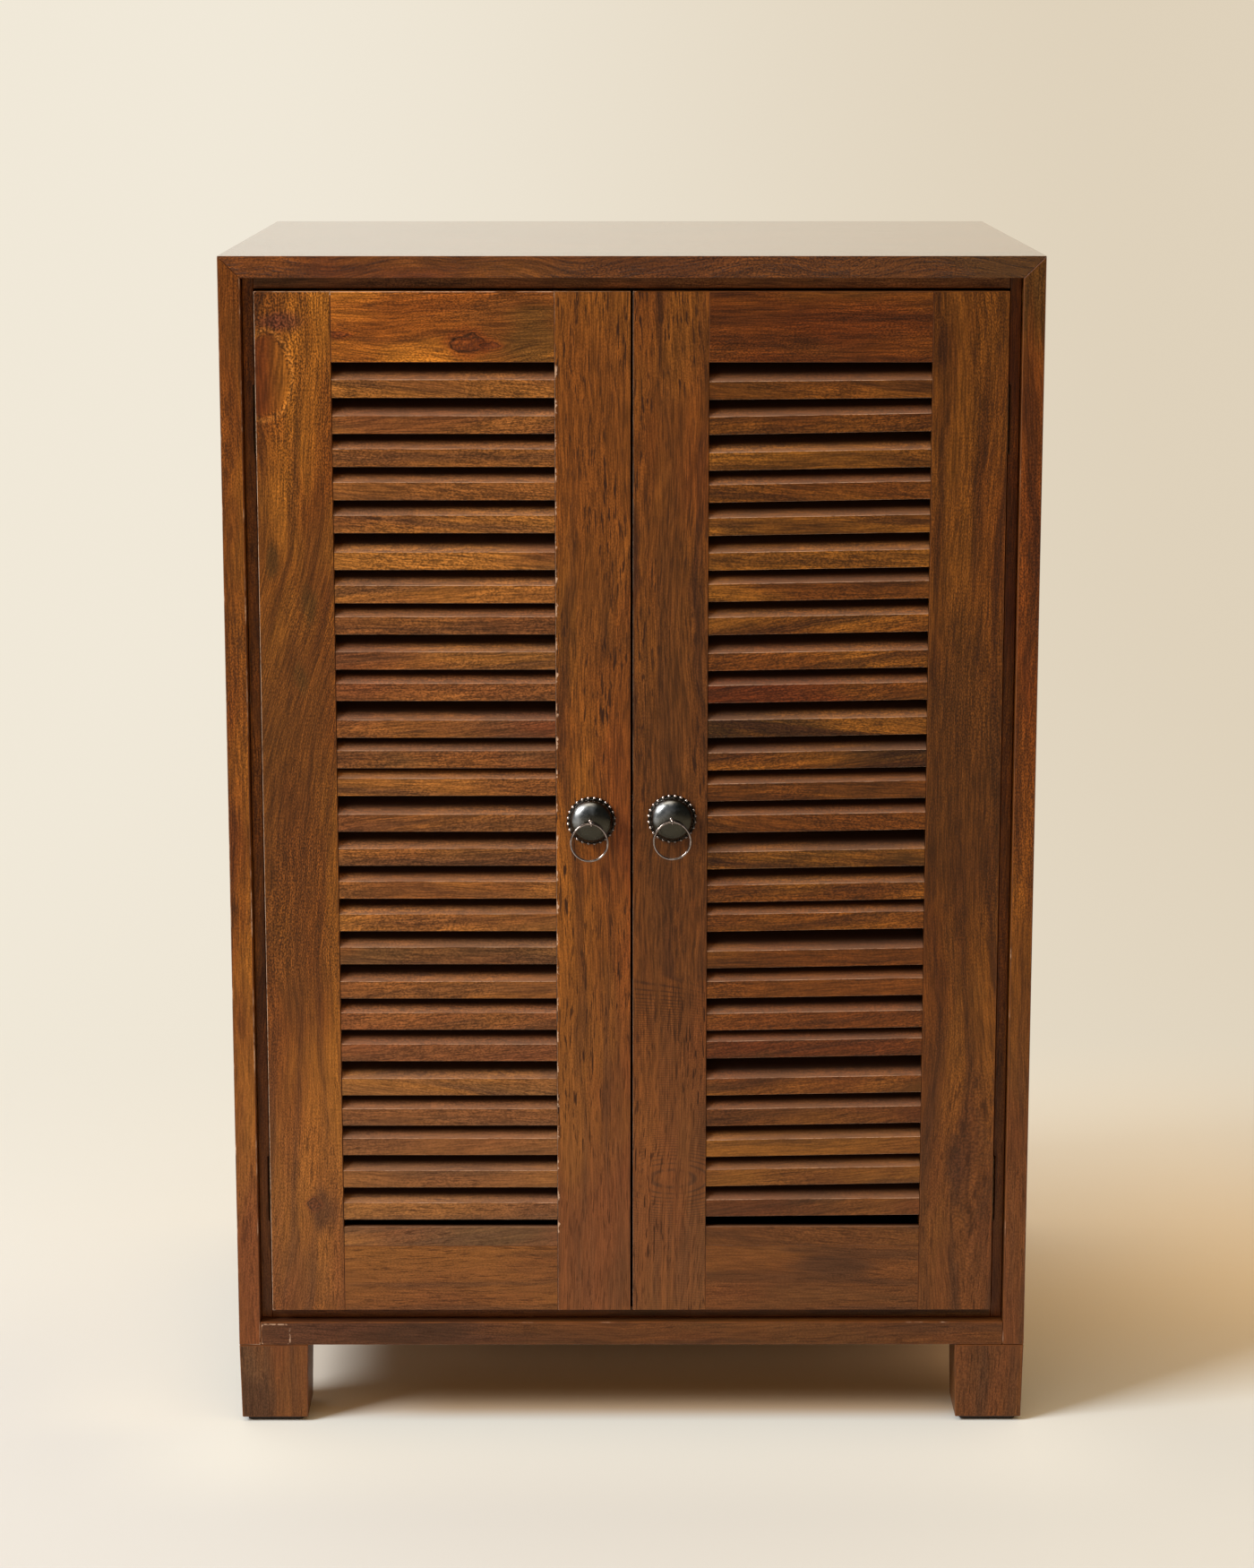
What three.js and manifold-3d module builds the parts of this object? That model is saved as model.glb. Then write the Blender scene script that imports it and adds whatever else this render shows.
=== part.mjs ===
// A free-standing two-door cabinet with fixed louvres, on four block feet.
// Millimetres, +Z up, the doors face -Y. The origin is the centre of the footprint, on the floor.

import * as THREE from 'three';
import { mergeVertices } from 'three/addons/utils/BufferGeometryUtils.js';
import Module from 'manifold-3d';

const wasm = await Module();
wasm.setup();

// Fits shared by the whole cabinet
const jointGap = 0.2;
const runningGap = 0.3;
const cutOverrun = 1;

// Case boards
const caseWidth = 610;
const caseDepth = 510;
const caseHeight = 840;
const sideThickness = 16.5;
const topThickness = 16;
const bottomThickness = 18.5;
const backThickness = 6;
const backLap = 8;

// Shelf and the cleats that carry it
const shelfThickness = 16;
const shelfHeightShare = 0.5;
const shelfBehindStrips = 5;
const cleatSize = 16;
const cleatSetback = 20;

// Feet and the glide pads under them
const footHeight = 59.5;
const footWidth = 53.5;
const footTaper = 2.5;
const padThickness = 3.5;
const padInset = 4;
const padCornerRadius = 4;
const padCornerSteps = 3;

// The sunk channel of filler strips round the doors
const channelWidth = 10;
const doorGap = 1.5;
const stripRecess = 11.5;
const stripDepth = 20;

// Door frames
const doorThickness = 22;
const meetingGap = 2;
const stileWidth = 56;
const topRailHeight = 52;
const bottomRailHeight = 51.8;
const railLand = 5;
const grooveDepth = 8;
const grooveWidth = 10;

// Louvre slats, top slat first in each list of lifts
const slatCount = 26;
const slatsPerSet = 9;
const slatFrontShare = 0.525;
const slatSlope = THREE.MathUtils.degToRad(45);
const slatFrontInset = 0.4;
const slatBackInset = 2;
const sillHeight = 15.2;
const sillDepth = 8;
const sillGap = 6.9;
const leftSlatLiftShares = [
  -0.04, -0.09, -0.06, -0.04, -0.01, -0.1, -0.09, -0.02, -0.07,
  -0.01, -0.12, -0.04, 0.12, 0.03, -0.01, -0.02, -0.02, -0.04,
  -0.1, -0.07, -0.05, -0.12, -0.07, 0, -0.02, -0.04,
];
const rightSlatLiftShares = [
  -0.07, -0.07, -0.12, -0.06, -0.04, -0.07, 0, 0.01, -0.06,
  -0.03, -0.07, -0.06, 0, 0.04, -0.07, -0.09, 0.01, -0.12,
  -0.05, -0.05, 0.08, -0.08, -0.04, -0.01, 0.06, 0.08,
];
const leftSlatTilt = 0;
const rightSlatTilt = THREE.MathUtils.degToRad(1);

// Butt hinges, two to a door
const hingeLength = 50;
const hingeFromDoorEnd = 95;
const hingeAxisDepth = 9;
const hingeAxisOffset = 0.3;
const knuckleRadius = 2.2;
const knuckleClearance = 0.4;
const knuckleSides = 14;
const leafThickness = 1.1;
const caseLeafWidth = 14;
const pinRadius = 1.05;
const pinBoreRadius = 1.32;
const pinSides = 10;
const pinHeadRadius = 1.8;
const pinHeadThickness = 0.8;

// Magnetic catches at the head of the doors
const catchWidth = 40;
const catchDepth = 14;
const catchHeight = 23;
const strikeWidth = 30;
const strikeHeight = 12;
const strikeThickness = 1;
const strikeFromDoorTop = 1.5;

// Ring pulls
const pullFromMeetingEdge = 29.5;
const leftPullHeight = 479.5;
const rightPullHeight = 481;
const plateRadius = 18.2;
const plateThickness = 1.6;
const beadCount = 24;
const beadRadius = 1.3;
const beadSides = 6;
const beadRings = 3;
const beadCircleRadius = 17.85;
const domeRadius = 15.5;
const domeHeight = 11.2;
const domeWall = 1.2;
const domeFullness = 0.76;
const domeSteps = 6;
const domeHoleRadius = 2;
const rosetteSides = 24;
const boltRadius = 1.6;
const boltHoleRadius = 2.2;
const boltSides = 10;
const boltTail = 2;
const nutRadius = 4;
const nutThickness = 3;
const eyeRadius = 2.4;
const eyeSides = 10;
const eyeRings = 6;
const eyeAheadOfDome = 3;
const eyeHoleRadius = 1.45;
const eyeTipRadius = 1.2;
const eyeTipRise = 2.5;
const eyeTipAside = 1;
const eyeTipSides = 8;
const eyeTipRings = 5;
const ringRadius = 13.9;
const ringWireRadius = 0.85;
const ringNeck = 0.7;
const ringNeckStart = THREE.MathUtils.degToRad(8);
const ringNeckEnd = THREE.MathUtils.degToRad(60);
const leftRingLean = THREE.MathUtils.degToRad(6);
const rightRingLean = 0;
const ringSides = 8;
const ringSteps = 44;

// Heights and edges that follow from the sizes above
const caseBottom = padThickness + footHeight;
const caseTop = caseBottom + caseHeight;
const insideHalfWidth = caseWidth / 2 - sideThickness;
const insideFloor = caseBottom + bottomThickness;
const insideCeiling = caseTop - topThickness;
const stripWidth = channelWidth - doorGap;
const stripInnerEdge = insideHalfWidth - stripWidth;
const stripBack = stripRecess + stripDepth;
const backFront = caseDepth - backThickness;
const doorOuterEdge = insideHalfWidth - channelWidth;
const doorWidth = doorOuterEdge - meetingGap / 2;
const doorBottom = insideFloor + channelWidth;
const doorTop = insideCeiling - channelWidth;
const louvreBottom = doorBottom + bottomRailHeight;
const louvreTop = doorTop - topRailHeight;
const louvreWidth = doorWidth - 2 * stileWidth;
const lowestSlatFoot = louvreBottom + sillHeight + sillGap;
const slatPitch = (louvreTop - lowestSlatFoot) / slatCount;
const slatFront = slatPitch * slatFrontShare;
const slatRun = doorThickness - slatFrontInset - slatBackInset;
const slatRise = slatRun * Math.tan(slatSlope);
const grooveFront = (doorThickness - grooveWidth) / 2;
const grooveBack = grooveFront + grooveWidth;
const hingePocketHalf = hingeLength / 2 + pinHeadThickness + 2 * runningGap;
const doorLeafFront = hingeAxisDepth + knuckleRadius + runningGap;
const eyeDepth = -domeHeight - eyeAheadOfDome;
const pullProjection = eyeRadius - eyeDepth;

const LEFT = -1;
const RIGHT = 1;

const woodColours = { case: 0x8a5a34, door: 0x9a6a3c, inner: 0x6f4a2e, slat: 0xa1733f };

function wood(colour) {
  return new THREE.MeshStandardMaterial({ color: colour, roughness: 0.5, metalness: 0 });
}

function metal(colour, roughness) {
  return new THREE.MeshStandardMaterial({ color: colour, roughness, metalness: 1 });
}

function rubber() {
  return new THREE.MeshStandardMaterial({ color: 0x1c1a18, roughness: 0.85, metalness: 0 });
}

// Closed meshes become solids for joins and cuts, and come back as geometry
function toSolid(geometry) {
  const bare = geometry.clone();
  bare.deleteAttribute('normal');
  bare.deleteAttribute('uv');
  const merged = mergeVertices(bare);
  const vertProperties = Float32Array.from(merged.attributes.position.array);
  const triVerts = Uint32Array.from(merged.index.array);
  return new wasm.Manifold(new wasm.Mesh({ numProp: 3, vertProperties, triVerts }));
}

function toGeometry(solid) {
  const mesh = solid.getMesh();
  const geometry = new THREE.BufferGeometry();
  geometry.setAttribute('position', new THREE.BufferAttribute(mesh.vertProperties, mesh.numProp));
  geometry.setIndex(new THREE.BufferAttribute(mesh.triVerts, 1));
  geometry.computeVertexNormals();
  return geometry;
}

function joined(solids) {
  return solids.reduce((whole, next) => whole.add(next));
}

function cutBy(solid, cutters) {
  return cutters.reduce((whole, cutter) => whole.subtract(cutter), solid);
}

// A box given by two opposite corners, in any order
function block(xA, xB, yA, yB, zA, zB) {
  const geometry = new THREE.BoxGeometry(Math.abs(xB - xA), Math.abs(yB - yA), Math.abs(zB - zA));
  return geometry.translate((xA + xB) / 2, (yA + yB) / 2, (zA + zB) / 2);
}

function outline(points) {
  return new THREE.Shape(points.map(([a, b]) => new THREE.Vector2(a, b)));
}

// Outlines drawn in plan and raised, drawn in section and run across, or drawn from the front and run back
function raised(shape, zFrom, zTo) {
  const geometry = new THREE.ExtrudeGeometry(shape, { depth: zTo - zFrom, bevelEnabled: false });
  return geometry.translate(0, 0, zFrom);
}

function runAcross(shape, xFrom, xTo) {
  const geometry = new THREE.ExtrudeGeometry(shape, { depth: xTo - xFrom, bevelEnabled: false });
  const turn = new THREE.Matrix4().makeBasis(
    new THREE.Vector3(0, 1, 0), new THREE.Vector3(0, 0, 1), new THREE.Vector3(1, 0, 0),
  );
  return geometry.applyMatrix4(turn).translate(xFrom, 0, 0);
}

function runBack(shape, yFrom, yTo) {
  const geometry = new THREE.ExtrudeGeometry(shape, { depth: yTo - yFrom, bevelEnabled: false });
  return geometry.rotateX(Math.PI / 2).translate(0, yTo, 0);
}

function uprightCylinder(radius, zFrom, zTo, sides, x, y) {
  const geometry = new THREE.CylinderGeometry(radius, radius, zTo - zFrom, sides);
  return geometry.rotateX(Math.PI / 2).translate(x, y, (zFrom + zTo) / 2);
}

function piece(name, shape, material) {
  const geometry = shape.isBufferGeometry ? shape : toGeometry(shape);
  const mesh = new THREE.Mesh(geometry, material);
  mesh.name = name;
  return mesh;
}

function sideName(side) {
  return side === LEFT ? 'left' : 'right';
}

// Case: mitred top corners, the floor board held between the sides, the back let into rebates
function backRebate() {
  return toSolid(block(
    -insideHalfWidth - backLap, insideHalfWidth + backLap,
    backFront - jointGap, caseDepth + cutOverrun,
    insideFloor - backLap, insideCeiling + backLap,
  ));
}

function topPanel() {
  const shape = outline([
    [-insideHalfWidth, insideCeiling],
    [insideHalfWidth, insideCeiling],
    [caseWidth / 2, caseTop],
    [-caseWidth / 2, caseTop],
  ]);
  const board = toSolid(runBack(shape, 0, caseDepth));
  return piece('top_panel', cutBy(board, [backRebate()]), wood(woodColours.case));
}

function sidePanel(side) {
  const shape = outline([
    [side * insideHalfWidth, caseBottom],
    [side * caseWidth / 2, caseBottom],
    [side * caseWidth / 2, caseTop - jointGap],
    [side * insideHalfWidth, insideCeiling - jointGap],
  ]);
  const board = toSolid(runBack(shape, 0, caseDepth));
  return piece(`${sideName(side)}_side_panel`, cutBy(board, [backRebate()]), wood(woodColours.case));
}

function bottomPanel() {
  const half = insideHalfWidth - jointGap;
  const board = toSolid(block(-half, half, 0, caseDepth, caseBottom, insideFloor));
  return piece('bottom_panel', cutBy(board, [backRebate()]), wood(woodColours.case));
}

function backPanel() {
  const half = insideHalfWidth + backLap - jointGap;
  const low = insideFloor - backLap + jointGap;
  const high = insideCeiling + backLap - jointGap;
  return piece('back_panel', block(-half, half, backFront, caseDepth, low, high), wood(woodColours.inner));
}

// Filler strips: the upright ones run the full height, the others fit between them
function uprightStrip(side) {
  const strip = toSolid(block(
    side * (insideHalfWidth - jointGap), side * stripInnerEdge,
    stripRecess, stripBack,
    insideFloor + jointGap, insideCeiling - jointGap,
  ));
  const pockets = hingeHeights().map((z) => toSolid(block(
    across(side, cutOverrun - doorGap), across(side, -doorGap - leafThickness - jointGap),
    stripRecess - cutOverrun, stripRecess + caseLeafWidth + jointGap,
    z - hingeLength / 2 - jointGap, z + hingeLength / 2 + jointGap,
  )));
  return piece(`${sideName(side)}_channel_strip`, cutBy(strip, pockets), wood(woodColours.inner));
}

function levelStrip(name, zFrom, zTo) {
  const half = stripInnerEdge - jointGap;
  return piece(name, block(-half, half, stripRecess, stripBack, zFrom, zTo), wood(woodColours.inner));
}

// One shelf on two cleats, set back behind the strips
function shelfTop() {
  return insideFloor + (insideCeiling - insideFloor + shelfThickness) * shelfHeightShare;
}

function shelfFront() {
  return stripBack + shelfBehindStrips;
}

function shelf() {
  const half = insideHalfWidth - runningGap;
  const low = shelfTop() - shelfThickness;
  const board = block(-half, half, shelfFront(), backFront - runningGap, low, shelfTop());
  return piece('shelf', board, wood(woodColours.inner));
}

function shelfCleat(side) {
  const high = shelfTop() - shelfThickness - jointGap;
  const cleat = block(
    side * (insideHalfWidth - jointGap), side * (insideHalfWidth - jointGap - cleatSize),
    shelfFront() + cleatSetback, backFront - cleatSetback,
    high - cleatSize, high,
  );
  return piece(`${sideName(side)}_shelf_cleat`, cleat, wood(woodColours.inner));
}

// Feet: square blocks, a little narrower at the floor, each with a thin glide pad
function footPlace(side, atFront) {
  const x = side * (caseWidth - footWidth) / 2;
  const y = atFront ? footWidth / 2 : caseDepth - footWidth / 2;
  return [x, y];
}

function footName(side, atFront) {
  return `${atFront ? 'front' : 'rear'}_${sideName(side)}_foot`;
}

function foot(side, atFront) {
  const [x, y] = footPlace(side, atFront);
  const height = footHeight - jointGap;
  const top = footWidth / Math.SQRT2;
  const bottom = (footWidth - footTaper) / Math.SQRT2;
  const geometry = new THREE.CylinderGeometry(top, bottom, height, 4);
  geometry.rotateY(Math.PI / 4).rotateX(Math.PI / 2);
  geometry.translate(x, y, padThickness + height / 2);
  return piece(footName(side, atFront), geometry, wood(woodColours.case));
}

function footPad(side, atFront) {
  const [x, y] = footPlace(side, atFront);
  const half = (footWidth - footTaper) / 2 - padInset;
  const inner = half - padCornerRadius;
  const shape = new THREE.Shape();
  shape.absarc(inner, inner, padCornerRadius, 0, Math.PI / 2);
  shape.absarc(-inner, inner, padCornerRadius, Math.PI / 2, Math.PI);
  shape.absarc(-inner, -inner, padCornerRadius, Math.PI, 1.5 * Math.PI);
  shape.absarc(inner, -inner, padCornerRadius, 1.5 * Math.PI, 2 * Math.PI);
  const options = { depth: padThickness - jointGap, bevelEnabled: false, curveSegments: padCornerSteps };
  const geometry = new THREE.ExtrudeGeometry(shape, options).translate(x, y, 0);
  return piece(`${footName(side, atFront)}_pad`, geometry, rubber());
}

// Doors: across() turns a distance from the hinged edge into a place across the cabinet
function across(side, fromHingedEdge) {
  return side * (doorOuterEdge - fromHingedEdge);
}

function hingeHeights() {
  return [doorBottom + hingeFromDoorEnd, doorTop - hingeFromDoorEnd];
}

function hingeAxisX(side) {
  return across(side, -hingeAxisOffset);
}

function hingePocket(side, z) {
  const barrel = uprightCylinder(
    knuckleRadius + knuckleClearance, z - hingePocketHalf, z + hingePocketHalf,
    knuckleSides, hingeAxisX(side), hingeAxisDepth,
  );
  const bed = block(
    across(side, -cutOverrun), across(side, leafThickness + jointGap),
    hingeAxisDepth, doorThickness + cutOverrun,
    z - hingeLength / 2 - jointGap, z + hingeLength / 2 + jointGap,
  );
  return toSolid(barrel).add(toSolid(bed));
}

// A stile in plan, from its outer edge to its grooved edge
function stilePlan(side, plainEdge, groovedEdge) {
  const inward = Math.sign(plainEdge - groovedEdge);
  const grooveFloor = groovedEdge + inward * grooveDepth;
  return outline([
    [across(side, plainEdge), 0],
    [across(side, groovedEdge), 0],
    [across(side, groovedEdge), grooveFront],
    [across(side, grooveFloor), grooveFront],
    [across(side, grooveFloor), grooveBack],
    [across(side, groovedEdge), grooveBack],
    [across(side, groovedEdge), doorThickness],
    [across(side, plainEdge), doorThickness],
  ]);
}

function hingeStile(side) {
  const stile = toSolid(raised(stilePlan(side, 0, stileWidth), doorBottom, doorTop));
  const pockets = hingeHeights().map((z) => hingePocket(side, z));
  return piece(`${sideName(side)}_door_hinge_stile`, cutBy(stile, pockets), wood(woodColours.door));
}

function pullHeight(side) {
  return side === LEFT ? leftPullHeight : rightPullHeight;
}

function pullX(side) {
  return across(side, doorWidth - pullFromMeetingEdge);
}

function meetingStile(side) {
  const stile = toSolid(raised(stilePlan(side, doorWidth, doorWidth - stileWidth), doorBottom, doorTop));
  const hole = new THREE.CylinderGeometry(
    boltHoleRadius, boltHoleRadius, doorThickness + 2 * cutOverrun, boltSides,
  );
  hole.translate(pullX(side), doorThickness / 2, pullHeight(side));
  return piece(`${sideName(side)}_door_meeting_stile`, cutBy(stile, [toSolid(hole)]), wood(woodColours.door));
}

// A rail in plan, with a tongue at each end for the stiles' grooves
function railPlan(side) {
  const middle = across(side, doorWidth / 2);
  const half = louvreWidth / 2 - jointGap;
  const tongue = louvreWidth / 2 + grooveDepth - jointGap;
  const tongueFront = grooveFront + jointGap;
  const tongueBack = grooveBack - jointGap;
  return outline([
    [middle - half, 0],
    [middle + half, 0],
    [middle + half, tongueFront],
    [middle + tongue, tongueFront],
    [middle + tongue, tongueBack],
    [middle + half, tongueBack],
    [middle + half, doorThickness],
    [middle - half, doorThickness],
    [middle - half, tongueBack],
    [middle - tongue, tongueBack],
    [middle - tongue, tongueFront],
    [middle - half, tongueFront],
  ]);
}

// The top rail's lower back edge is bevelled like the slats, which leaves room for the first one
function topRail(side) {
  const rail = toSolid(raised(railPlan(side), louvreTop, doorTop));
  const bevelBack = doorThickness + cutOverrun;
  const bevelRise = (bevelBack - railLand) * Math.tan(slatSlope);
  const shape = outline([
    [railLand, louvreTop],
    [railLand, louvreTop - cutOverrun],
    [bevelBack, louvreTop - cutOverrun],
    [bevelBack, louvreTop + bevelRise],
  ]);
  const middle = across(side, doorWidth / 2);
  const bevel = toSolid(runAcross(shape, middle - doorWidth / 2, middle + doorWidth / 2));
  return piece(`${sideName(side)}_door_top_rail`, cutBy(rail, [bevel]), wood(woodColours.door));
}

function bottomRail(side) {
  const rail = raised(railPlan(side), doorBottom, louvreBottom);
  return piece(`${sideName(side)}_door_bottom_rail`, rail, wood(woodColours.door));
}

// Slats: sloping boards with upright front edges, rising towards the back
function slatLift(side, fromTop) {
  const shares = side === LEFT ? leftSlatLiftShares : rightSlatLiftShares;
  return shares[fromTop % shares.length] * slatPitch;
}

// The slats out of level lean less at the top and the bottom of the louvre
function slatTilt(side, fromTop) {
  const full = side === LEFT ? leftSlatTilt : rightSlatTilt;
  return fromTop === 0 || fromTop === slatCount - 1 ? full / 2 : full;
}

function slat(side, fromTop) {
  const shape = outline([
    [slatFrontInset, 0],
    [slatFrontInset + slatRun, slatRise],
    [slatFrontInset + slatRun, slatRise + slatFront],
    [slatFrontInset, slatFront],
  ]);
  const reach = louvreWidth / 2 + grooveDepth;
  const foot = louvreTop - (fromTop + 1) * slatPitch + jointGap;
  const geometry = runAcross(shape, -reach, reach).rotateY(-slatTilt(side, fromTop));
  return toSolid(geometry.translate(across(side, doorWidth / 2), 0, foot + slatLift(side, fromTop)));
}

// An upright strip closes the foot of the louvre, flush with the slats' front edges
function sill(side) {
  const middle = across(side, doorWidth / 2);
  const reach = louvreWidth / 2 + grooveDepth;
  const foot = louvreBottom + jointGap;
  return toSolid(block(
    middle - reach, middle + reach, slatFrontInset, slatFrontInset + sillDepth, foot, foot + sillHeight,
  ));
}

// A set of slats is held at each end by a spacer that fills the stile's groove
function slatSet(side, name, firstFromTop, count) {
  const middle = across(side, doorWidth / 2);
  const high = louvreTop - firstFromTop * slatPitch - jointGap;
  const hasSill = firstFromTop + count === slatCount;
  const low = hasSill ? louvreBottom + jointGap : louvreTop - (firstFromTop + count) * slatPitch;
  const between = louvreWidth / 2 - runningGap;
  const spacerFront = grooveFront + jointGap;
  const spacerBack = grooveBack - jointGap;
  const spacerFace = louvreWidth / 2;
  const spacerFloor = spacerFace + grooveDepth - jointGap;
  const boards = Array.from({ length: count }, (_, step) => slat(side, firstFromTop + step));
  const slats = joined(hasSill ? [...boards, sill(side)] : boards);
  const openSpace = toSolid(block(
    middle - between, middle + between, 0, doorThickness, low - slatPitch, high + slatPitch + slatRise,
  ));
  const housedSpace = toSolid(block(
    middle - spacerFloor, middle + spacerFloor, spacerFront, spacerBack, low, high,
  ));
  const spacers = [-1, 1].map((end) => toSolid(block(
    middle + end * spacerFace, middle + end * spacerFloor, spacerFront, spacerBack, low, high,
  )));
  const solid = joined([slats.intersect(openSpace.add(housedSpace)), ...spacers]);
  return piece(`${sideName(side)}_door_${name}_slats`, solid, wood(woodColours.slat));
}

function slatSets(side) {
  const names = ['upper', 'middle', 'lower'];
  return names.map((name, index) => {
    const first = index * slatsPerSet;
    const last = index === names.length - 1 ? slatCount : first + slatsPerSet;
    return slatSet(side, name, first, last - first);
  });
}

// Hinges: the case leaf carries the outer knuckles, the door leaf the middle one
function hingeName(side, index) {
  return `${sideName(side)}_${index === 0 ? 'lower' : 'upper'}_hinge`;
}

function knuckle(side, zFrom, zTo) {
  return toSolid(uprightCylinder(
    knuckleRadius, zFrom, zTo, knuckleSides, hingeAxisX(side), hingeAxisDepth,
  ));
}

function pinBore(side, z) {
  const half = hingeLength / 2 + cutOverrun;
  return toSolid(uprightCylinder(
    pinBoreRadius, z - half, z + half, pinSides, hingeAxisX(side), hingeAxisDepth,
  ));
}

function caseLeaf(side, index) {
  const z = hingeHeights()[index];
  const third = hingeLength / 3;
  const outer = across(side, -doorGap - leafThickness);
  const inner = across(side, -doorGap);
  const plate = toSolid(block(
    outer, inner, stripRecess, stripRecess + caseLeafWidth, z - hingeLength / 2, z + hingeLength / 2,
  ));
  const ends = [-1, 1].flatMap((end) => {
    const near = z + end * (third / 2 + jointGap);
    const far = z + end * hingeLength / 2;
    const tab = toSolid(block(outer, inner, hingeAxisDepth, stripRecess + jointGap, near, far));
    return [tab, knuckle(side, Math.min(near, far), Math.max(near, far))];
  });
  const solid = cutBy(joined([plate, ...ends]), [pinBore(side, z)]);
  return piece(`${hingeName(side, index)}_case_leaf`, solid, metal(0x4a3826, 0.45));
}

function doorLeaf(side, index) {
  const z = hingeHeights()[index];
  const half = hingeLength / 6 - jointGap;
  const outer = across(side, 0);
  const inner = across(side, leafThickness);
  const plate = toSolid(block(
    outer, inner, doorLeafFront, doorThickness - jointGap, z - hingeLength / 2, z + hingeLength / 2,
  ));
  const tab = toSolid(block(
    outer, inner, hingeAxisDepth, doorLeafFront + jointGap, z - half, z + half,
  ));
  const solid = cutBy(joined([plate, tab, knuckle(side, z - half, z + half)]), [pinBore(side, z)]);
  return piece(`${hingeName(side, index)}_door_leaf`, solid, metal(0x4a3826, 0.45));
}

function hingePin(side, index) {
  const z = hingeHeights()[index];
  const neck = hingeLength / 2 + jointGap;
  const end = neck + pinHeadThickness;
  const profile = [
    [0, -end], [pinHeadRadius, -end], [pinHeadRadius, -neck], [pinRadius, -neck],
    [pinRadius, neck], [pinHeadRadius, neck], [pinHeadRadius, end], [0, end],
  ];
  const points = profile.map(([r, h]) => new THREE.Vector2(r, h));
  const geometry = new THREE.LatheGeometry(points, pinSides).rotateX(Math.PI / 2);
  geometry.translate(hingeAxisX(side), hingeAxisDepth, z);
  return piece(`${hingeName(side, index)}_pin`, toSolid(geometry), metal(0x4a3826, 0.4));
}

// Catches: a magnet block behind the head strip reaches down to a steel strike on the door's back
function catchX(side) {
  return across(side, doorWidth - stileWidth / 2);
}

function magnetCatch(side) {
  const behindStrip = stripBack + jointGap;
  const noseFront = doorThickness + jointGap + strikeThickness + runningGap;
  const noseTop = insideCeiling - stripWidth - 2 * jointGap;
  const high = insideCeiling - jointGap;
  const low = high - catchHeight;
  const shape = outline([
    [noseFront, low],
    [behindStrip + catchDepth, low],
    [behindStrip + catchDepth, high],
    [behindStrip, high],
    [behindStrip, noseTop],
    [noseFront, noseTop],
  ]);
  const geometry = runAcross(shape, catchX(side) - catchWidth / 2, catchX(side) + catchWidth / 2);
  const material = new THREE.MeshStandardMaterial({ color: 0x5a3d28, roughness: 0.5, metalness: 0 });
  return piece(`${sideName(side)}_magnet_catch`, geometry, material);
}

function strikePlate(side) {
  const high = doorTop - strikeFromDoorTop;
  const plate = block(
    catchX(side) - strikeWidth / 2, catchX(side) + strikeWidth / 2,
    doorThickness + jointGap, doorThickness + jointGap + strikeThickness,
    high - strikeHeight, high,
  );
  return piece(`${sideName(side)}_strike_plate`, plate, metal(0xb4b2ac, 0.35));
}

// Pulls are modelled facing +Z about their own centre, then turned to face the front
function faceFront(geometry, side) {
  return geometry.rotateX(Math.PI / 2).translate(pullX(side), 0, pullHeight(side));
}

// The dome is fuller than an ellipse: flatter on top and steeper near its rim
function domeArc(radius, height, base, fromHole) {
  const start = Math.asin((fromHole / radius) ** (1 / domeFullness));
  return Array.from({ length: domeSteps + 1 }, (_, step) => {
    const angle = start + (Math.PI / 2 - start) * step / domeSteps;
    const breadth = Math.sin(angle) ** domeFullness;
    const rise = step === domeSteps ? 0 : Math.cos(angle) ** domeFullness;
    return new THREE.Vector2(radius * breadth, base + height * rise);
  });
}

// The rosette is one pressed shell: hollow dome, flat rim and a string of beads
function rosette(side) {
  const rise = domeHeight - plateThickness;
  const outer = domeArc(domeRadius, rise, plateThickness, domeHoleRadius);
  const inner = domeArc(domeRadius - domeWall, domeHeight - domeWall, 0, domeHoleRadius).reverse();
  const profile = [
    ...outer,
    new THREE.Vector2(plateRadius, plateThickness),
    new THREE.Vector2(plateRadius, 0),
    ...inner,
    outer[0].clone(),
  ].reverse();
  const shell = new THREE.LatheGeometry(profile, rosetteSides);
  shell.rotateX(Math.PI / 2).translate(0, 0, jointGap);
  const beads = Array.from({ length: beadCount }, (_, step) => {
    const angle = 2 * Math.PI * step / beadCount;
    const bead = new THREE.SphereGeometry(beadRadius, beadSides, beadRings);
    bead.translate(
      beadCircleRadius * Math.cos(angle), beadCircleRadius * Math.sin(angle), plateThickness + jointGap,
    );
    return toSolid(faceFront(bead, side));
  });
  const solid = joined([toSolid(faceFront(shell, side)), ...beads]);
  return piece(`${sideName(side)}_pull_rosette`, solid, metal(0x3f3d3a, 0.22));
}

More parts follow.
